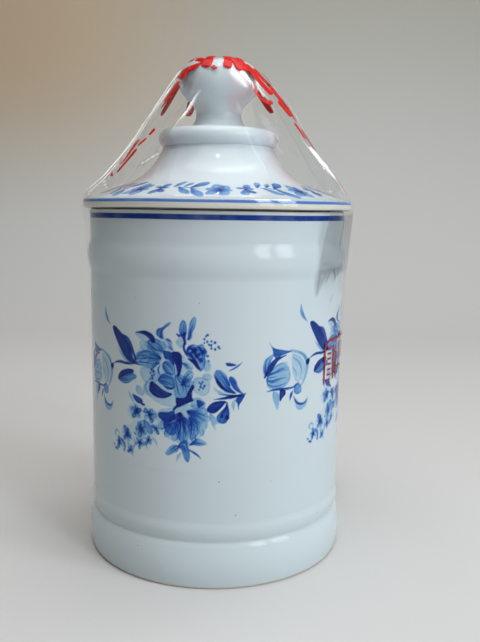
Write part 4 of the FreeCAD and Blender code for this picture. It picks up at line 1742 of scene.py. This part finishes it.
    def build(self, material: Material) -> None:
        """Makes the film, and has it stand for the plain hood.

        Args:
            material: The film.
        """
        lift, crease_glint = self.crease_shape()
        profile_way = np.gradient(self.grid, axis=0)
        profile_way /= np.linalg.norm(profile_way, axis=-1, keepdims=True)
        radius = self.grid[..., 0] - profile_way[..., 1] * lift * MM
        height = self.grid[..., 1] + profile_way[..., 0] * lift * MM
        degrees = np.degrees(self.azimuth)[None, :]
        ripple = cloud(degrees, height / MM, 9.0, 11) - 0.5
        cone = soft_step(height / MM, *self.cone_foot)
        cone = cone * (1 - soft_step(height / MM, *self.cone_head))
        radius = radius + ripple * cone * 0.7 * MM
        hem = 1.1 * np.sin(np.radians(degrees) * 3) + 0.6 * np.sin(np.radians(degrees) * 11)
        height = height + hem * MM * (1 - soft_step(height / MM, *self.hem_heights))
        corners = around(np.broadcast_to(self.azimuth, radius.shape), radius, height)
        painted_light = np.maximum(crease_glint, self.painted_lines(self.streaks, corners))
        # painted glint along the film over the lid's rim
        rim = np.exp(-((height / MM - self.rim_glint_height) / 0.5) ** 2) * 0.16
        painted_light = np.clip(painted_light + rim, 0, 1)
        # painted shade: the strip where the film lies double and the dark wrinkle lines, kept out of
        # the glints
        shade = (self.fold_shade() + self.painted_lines(self.shades, corners)) * (1 - painted_light)
        cling = 1 - soft_step(self.heights[:, None], *self.cling_heights) + np.zeros_like(painted_light)
        colours = np.stack([painted_light, shade, cling], -1)
        mesh = grid_mesh("shrunk_film", corners, True)
        self.close_crown(mesh, corners)
        crown = np.zeros((1, 3))
        colour_attribute(mesh, PAINTED_LIGHT_ATTRIBUTE, np.concatenate([colours.reshape(-1, 3), crown]))
        mesh.materials.append(material)
        piece = self.thickened(mesh)
        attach(piece, "hood")
        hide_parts("shrink_hood")
        LOG.info("shrunk_film: %d faces", len(piece.data.polygons))

    def close_crown(self, mesh: Mesh, corners: Array) -> None:
        """Adds the middle of the crown and its ring of triangles, and turns the faces outwards.

        Args:
            mesh: The film's mesh, which is filled again.
            corners: Its corners, by rows and columns.
        """
        middle = corners[0].mean(0)
        points = np.concatenate([corners.reshape(-1, 3), middle[None]])
        quads = [tuple(face.vertices) for face in mesh.polygons]
        hub = len(points) - 1
        fan = [(hub, j, (j + 1) % self.columns) for j in range(self.columns)]
        faces = [tuple(reversed(quad)) for quad in quads] + [tuple(reversed(tri)) for tri in fan]
        mesh.clear_geometry()
        fill_mesh(mesh, points, faces)

    def thickened(self, mesh: Mesh) -> Object:
        """Gives the film its thickness, inwards.

        Args:
            mesh: The film's outer face.

        Returns:
            The film's piece.
        """
        piece = shown("shrunk_film", mesh)
        solid = piece.modifiers.new("thickness", "SOLIDIFY")
        solid.thickness = self.thickness * MM
        solid.offset = -1.0
        apply_modifiers(piece)
        return piece


@dataclass(frozen=True)
class Mark:
    """A printed mark: its centre line as azimuth and height, and its widths at the ends."""

    places: tuple[Point, ...]
    start: float
    end: float


@dataclass
class FilmPrint:
    """Plain red marks printed on the film: a band over the knob and a frame on the wall."""

    lift: float = 0.16
    thickness: float = 0.06
    across: int = 5
    marks: tuple[Mark, ...] = (
        Mark(((-70, 218.4), (-56, 217.2), (-44, 216.4)), 4.4, 6.0),
        Mark(((-76, 215), (-60, 215.2), (-44, 213.6)), 2.6, 3.6),
        Mark(((-72, 221.6), (-60, 222), (-50, 222.4)), 2.2, 3.0),
        Mark(((-46, 217.2), (-37, 219.4), (-30, 222.2)), 6.0, 5.4),
        Mark(((-26, 219.2), (-18, 219.8), (-9, 219.4)), 4.6, 6.8),
        Mark(((-22, 222.6), (-12, 222.7), (-6, 222.6)), 2.4, 2.0),
        Mark(((-8, 218), (-5, 217.2), (-1, 216.8)), 2.2, 1.2),
        Mark(((8, 219.8), (14, 219.6), (21, 219.1)), 5.8, 6.4),
        Mark(((9, 222.9), (18, 222.4), (26, 221.8)), 2.0, 2.6),
        Mark(((26, 222.2), (30, 219.6), (33, 216.6)), 3.6, 4.4),
        Mark(((37, 222.8), (40, 220), (42, 216.4)), 3.4, 3.6),
        Mark(((48, 220), (50, 216), (52, 212)), 3.6, 3.2),
        Mark(((60, 218.5), (62, 215.2), (63, 212)), 4.6, 4.0),
        Mark(((50, 213.5), (54, 209.6), (57, 206.6)), 3.4, 4.8),
        Mark(((66, 211), (67, 207), (67, 203.6)), 5.2, 4.6),
        Mark(((40, 211), (37.5, 206.8), (40, 203.2), (46, 202.4), (50, 203.4)), 1.0, 2.6),
        Mark(((60, 204), (64, 200.4), (67, 198)), 4.4, 5.2),
        Mark(((72, 203), (73, 199), (73, 196)), 4.6, 4.0),
        Mark(((66, 195), (67.5, 191), (68.5, 188)), 3.4, 3.0),
        Mark(((74, 193), (75, 188.5), (75.5, 184)), 3.2, 3.8),
        Mark(((71, 182), (71.6, 179.4), (72, 177.6)), 4.6, 5.0),
        Mark(((71.6, 175.8), (72.6, 171.5), (73.6, 167)), 5.4, 2.2),
        Mark(((79, 174), (79.5, 169), (80, 164.5)), 2.4, 2.0),
        Mark(((-52, 212), (-54, 207.4), (-55, 203)), 5.4, 4.0),
        Mark(((-49, 205), (-51, 202), (-52, 199.6)), 2.2, 1.6),
        Mark(((-42.5, 190), (-44, 188.5), (-45, 187.4)), 2.4, 1.8),
        Mark(((-45.5, 186), (-48.5, 184.4), (-50.5, 183)), 1.6, 2.2),
        Mark(((-56, 186), (-57.5, 180.5), (-58, 175)), 4.0, 5.2),
        Mark(((-49.5, 181.5), (-51.5, 176.5), (-52.5, 171.5)), 3.4, 2.4),
        Mark(((-66, 178), (-64.5, 173), (-62, 168.6)), 3.8, 2.8),
        Mark(((-60, 171.5), (-57, 170.6), (-54, 170)), 1.4, 1.0),
        Mark(((-110, 216), (-112, 208), (-112, 200)), 4.5, 4.0),
        Mark(((-140, 218), (-146, 210), (-148, 202)), 4.0, 4.6),
        Mark(((172, 218), (170, 210), (168, 202)), 4.4, 3.6),
        Mark(((132, 218), (128, 211), (126, 203)), 4.2, 4.4),
        Mark(((98, 216), (99, 208), (99, 200)), 4.6, 4.2),
        Mark(
            ((84, 101.8), (66, 101.4), (58, 101.2), (54.8, 99.2), (54.4, 94), (54.4, 82.6)), 1.1, 1.1
        ),
        Mark(((63, 99), (63, 83.5)), 1.3, 1.3),
        Mark(((66.5, 98), (66.5, 83.5)), 1.3, 1.3),
        Mark(((72, 99), (72, 91)), 1.0, 1.0),
        Mark(((69.5, 88), (76, 88)), 0.9, 0.9),
        Mark(((77, 99), (77, 91)), 1.0, 1.0),
    )

    def build(self, film: FilmHood, material: Material) -> None:
        """Lays every mark on the film as one thin piece.

        Args:
            film: Gives the surface.
            material: The ink.
        """
        corners: list[Array] = []
        faces: list[tuple[int, ...]] = []
        for mark in self.marks:
            path = smooth_line(mark.places, False, 6)
            ring = film.place(path[:, 0], path[:, 1])
            way = np.gradient(ring, axis=0)
            out = film.place(path[:, 0], path[:, 1], 1.0) - ring
            side = np.cross(way, out)
            side /= np.linalg.norm(side, axis=1, keepdims=True)
            share = np.linspace(0, 1, len(path))
            ends = np.minimum(1, 0.55 + 4 * np.minimum(share, 1 - share))
            half = (mark.start + (mark.end - mark.start) * share) / 2 * ends
            self.add_ribbon(film, path, side, half, corners, faces)
        mesh = bpy.data.meshes.new("film_print")
        fill_mesh(mesh, np.concatenate(corners), faces)
        mesh.materials.append(material)
        piece = shown("film_print", mesh)
        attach(piece, "hood")
        LOG.info("film_print: %d faces", len(faces))

    def add_ribbon(
        self,
        film: FilmHood,
        path: Array,
        side: Array,
        half: Array,
        corners: list[Array],
        faces: list[tuple[int, ...]],
    ) -> None:
        """Adds a closed ribbon, its top and its underside each following the film.

        Args:
            film: Gives the surface.
            path: The ribbon's middle line, as azimuth and height.
            side: The direction across it at each place.
            half: Half its width at each place, in millimetres.
            corners: Takes the ribbon's corners.
            faces: Takes its faces.
        """
        across = self.across
        base = sum(len(part) for part in corners)
        count = len(path)
        radius = np.hypot(*film.place(path[:, 0], path[:, 1])[:, :2].T)
        turn = np.radians(path[:, 0])
        round_way = np.stack([np.cos(turn), np.sin(turn), 0 * turn], -1)
        spread = np.linspace(-1, 1, across)
        layers = []
        for lift in (self.lift, self.lift - self.thickness):
            rows = []
            for amount in spread:
                offset = side * (half * amount)[:, None]
                arc = np.sum(offset * round_way, axis=1)
                azimuth = path[:, 0] + np.degrees(arc * MM / radius)
                rise = offset[:, 2]
                slant = np.sqrt(np.maximum(1e-9, np.sum(offset**2, axis=1) - arc**2))
                rise = np.sign(rise) * np.where(path[:, 1] < 160, slant, slant * 0.78)
                rows.append(film.place(azimuth, path[:, 1] + rise, lift))
            layers.append(np.stack(rows, 1))
        corners.append(np.concatenate([layer.reshape(-1, 3) for layer in layers]))
        top = np.arange(count * across).reshape(count, across) + base
        low = top + count * across
        for i in range(count - 1):
            for j in range(across - 1):
                faces.append((top[i, j], top[i, j + 1], top[i + 1, j + 1], top[i + 1, j]))
                faces.append((low[i, j], low[i + 1, j], low[i + 1, j + 1], low[i, j + 1]))
            faces.append((top[i, 0], top[i + 1, 0], low[i + 1, 0], low[i, 0]))
            faces.append((top[i, -1], low[i, -1], low[i + 1, -1], top[i + 1, -1]))
        for j in range(across - 1):
            faces.append((top[0, j], low[0, j], low[0, j + 1], top[0, j + 1]))
            faces.append((top[-1, j], top[-1, j + 1], low[-1, j + 1], low[-1, j]))


@dataclass
class PrintedRungs:
    """The short plain bars inside the printed frame, in degrees and millimetres."""

    azimuth: float = 58.5
    top: float = 98.0
    low: float = 84.0
    count: int = 7
    lift: float = 0.13
    length: float = 3.2
    breadth: float = 0.85
    thickness: float = 0.06

    def pattern(self) -> Pattern:
        """Builds the tree: bars set across a path, flat on the film.

        Returns:
            The tree.
        """
        sizes = {
            "Count": self.count,
            "Length": self.length * MM,
            "Breadth": self.breadth * MM,
            "Thickness": self.thickness * MM,
        }
        tree = Pattern("film_print_rungs", sizes)
        given = tree.given
        path = tree.node("GeometryNodeMeshToCurve", {}, {"Mesh": given["Ground"]})
        spaced = {"Curve": path.outputs[0], "Count": given["Count"]}
        places = tree.node("GeometryNodeCurveToPoints", {"mode": "COUNT"}, spaced)
        sides = {"X": given["Thickness"], "Y": given["Length"], "Z": given["Breadth"]}
        size = tree.node("ShaderNodeCombineXYZ", {}, sides)
        bar = tree.node("GeometryNodeMeshCube", {}, {"Size": size.outputs[0]})
        spot = tree.node("GeometryNodeInputPosition", {}, {})
        level = {0: spot.outputs[0], 1: (1.0, 1.0, 0.0)}
        out = tree.node("ShaderNodeVectorMath", {"operation": "MULTIPLY"}, level)
        facing = {"Vector": out.outputs[0]}
        turn = tree.node("FunctionNodeAlignRotationToVector", {"axis": "X"}, facing)
        inputs = {
            "Points": places.outputs["Points"],
            "Instance": bar.outputs["Mesh"],
            "Rotation": turn.outputs[0],
        }
        copies = tree.node("GeometryNodeInstanceOnPoints", {}, inputs)
        tree.end_with(copies.outputs[0])
        return tree

    def build(self, film: FilmHood, material: Material) -> None:
        """Sets the bars down the film.

        Args:
            film: Gives the surface.
            material: The ink.
        """
        heights = np.linspace(self.top, self.low, 16)
        points = film.place(np.full_like(heights, self.azimuth), heights, self.lift)
        path = bpy.data.meshes.new("rung_path")
        edges = [(number, number + 1) for number in range(len(points) - 1)]
        path.from_pydata(points.tolist(), edges, [])
        piece = self.pattern().made_on(path, material)
        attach(piece, "hood")
        LOG.info("%s: %d faces", piece.name, len(piece.data.polygons))


# ---------------------------------------------------------------------------------- studio


@dataclass
class Studio:
    """A paper sweep: a floor that curves up into a wall behind the jar."""

    half_width: float = 1.5
    front: float = -1.2
    bend_start: float = 0.55
    bend_radius: float = 0.7
    top: float = 2.4
    sunk: float = 0.00005

    def build(self, material: Material) -> None:
        """Makes the sweep.

        Args:
            material: The paper.
        """
        turn = np.linspace(0, np.pi / 2, 40)
        curve_y = self.bend_start + self.bend_radius * np.sin(turn)
        curve_z = self.bend_radius * (1 - np.cos(turn))
        y = np.concatenate([[self.front], curve_y, [curve_y[-1]]])
        z = np.concatenate([[0.0], curve_z, [self.top]]) - self.sunk
        x = np.array([-self.half_width, self.half_width])
        across = np.broadcast_to(x, (len(y), 2))
        corners = np.stack([across, np.stack([y, y], 1), np.stack([z, z], 1)], -1)
        mesh = grid_mesh("studio_sweep", corners, False)
        mesh.materials.append(material)
        shown("studio_sweep", mesh)


@dataclass(frozen=True)
class Lamp:
    """A soft rectangular lamp that faces a point."""

    name: str
    place: tuple[float, float, float]
    target: tuple[float, float, float]
    width: float
    height: float
    power: float
    colour: Colour = (1.0, 1.0, 1.0)

    def build(self) -> None:
        """Adds the lamp to the scene."""
        light = bpy.data.lights.new(self.name, "AREA")
        light.shape = "RECTANGLE"
        light.size = self.width
        light.size_y = self.height
        light.energy = self.power
        light.color = self.colour
        lamp = bpy.data.objects.new(self.name, light)
        bpy.context.scene.collection.objects.link(lamp)
        lamp.location = self.place
        way = Vector(self.target) - Vector(self.place)
        lamp.rotation_euler = way.to_track_quat("-Z", "Y").to_euler()


@dataclass(frozen=True)
class Eye:
    """The camera, a little above the jar's shoulder."""

    place: tuple[float, float, float] = (0.01103, -0.3450, 0.15686)
    pitch: float = 8.594
    roll: float = 0.841
    lens: float = 41.08

    def build(self) -> None:
        """Adds the camera and makes it the scene's own."""
        camera = bpy.data.cameras.new("main_camera")
        camera.lens = self.lens
        camera.sensor_width = 36.0
        camera.clip_start = 0.01
        eye = bpy.data.objects.new("main_camera", camera)
        bpy.context.scene.collection.objects.link(eye)
        eye.rotation_mode = "XYZ"
        eye.location = self.place
        turn = Matrix.Rotation(math.radians(90 - self.pitch), 4, "X")
        turn = turn @ Matrix.Rotation(math.radians(self.roll), 4, "Z")
        eye.rotation_euler = turn.to_euler()
        bpy.context.scene.camera = eye


class Room(Tree):
    """The surround: dim as a light, and pale where it is looked at past the paper's edge."""

    tint: Colour = (0.88, 0.90, 0.80)
    light: float = 0.10
    backdrop: float = 0.42

    def __init__(self) -> None:
        """Makes the scene's world."""
        world = bpy.data.worlds.new("room")
        bpy.context.scene.world = world
        world.use_nodes = True
        self.tree = world.node_tree
        self.tree.nodes.clear()
        tint = rgba(self.tint)
        dim = self.node("ShaderNodeBackground", {}, {"Color": tint, "Strength": self.light})
        pale = self.node("ShaderNodeBackground", {}, {"Color": tint, "Strength": self.backdrop})
        seen = self.node("ShaderNodeLightPath", {}, {}).outputs["Is Camera Ray"]
        both = {0: seen, 1: dim.outputs[0], 2: pale.outputs[0]}
        mix = self.node("ShaderNodeMixShader", {}, both)
        self.node("ShaderNodeOutputWorld", {}, {"Surface": mix.outputs[0]})


def main() -> None:
    """Builds the scene in order."""
    logging.basicConfig(level=logging.INFO, format="%(name)s %(message)s")
    # painted shadow in the joint: a near-black line where the lid's rim meets the jar's lip
    joint_shadow = (0.022, 0.020, 0.016)
    jar_lines = (
        GlazeLine(152.9, 155.1, 56.0, (0.0, 0.034, 0.24), 1.0),
        GlazeLine(156.5, 157.5, 57.1, joint_shadow, 0.95),
    )
    lid_lines = (
        GlazeLine(159.7, 160.9, 59.3, (0.03, 0.15, 0.52), 0.92),
        GlazeLine(156.0, 157.45, 59.9, joint_shadow, 0.95),
    )
    jar_glaze = Glaze("jar_glaze", jar_lines).material()
    lid_glaze = Glaze("lid_glaze", lid_lines, print_reflection=0.75).material()
    for name, glaze in (("jar_body", jar_glaze), ("lid", lid_glaze)):
        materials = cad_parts[name].data.materials
        materials.clear()
        materials.append(glaze)
        LOG.info("%s: %s", name, glaze.name)
    PaintedWall().build(jar_glaze)
    PaintedLid().build(lid_glaze)
    GlazeSpecks().build(IronSpeck().material())
    film = FilmHood()
    film.build(ClearFilm().material())
    red = FilmInk().material()
    FilmPrint().build(film, red)
    PrintedRungs().build(film, red)
    Studio().build(Backdrop().material())
    lamps = (
        Lamp("window_left", (0.98, -1.12, 0.8), (0, 0, 0.13), 0.34, 1.0, 8.0, (0.90, 0.96, 1.0)),
        Lamp("window_right", (1.36, -0.74, 0.8), (0, 0, 0.13), 0.44, 1.0, 9.9, (0.90, 0.96, 1.0)),
        Lamp("ceiling", (0.0, -0.2, 1.3), (0, 0, 0.05), 1.2, 1.0, 10.0, (1.0, 0.98, 0.96)),
        Lamp("front_dot", (0.0, -0.38, 1.1), (0, 0, 0.15), 0.045, 0.045, 1.0),
        Lamp("wall_wash", (0.3, 0.3, 1.3), (0, 1.2, 0.3), 0.8, 0.5, 3.5),
    )
    for lamp in lamps:
        lamp.build()
    Room()
    bpy.context.scene.view_settings.view_transform = "Standard"
    Eye().build()


if __name__ == "__main__":
    main()
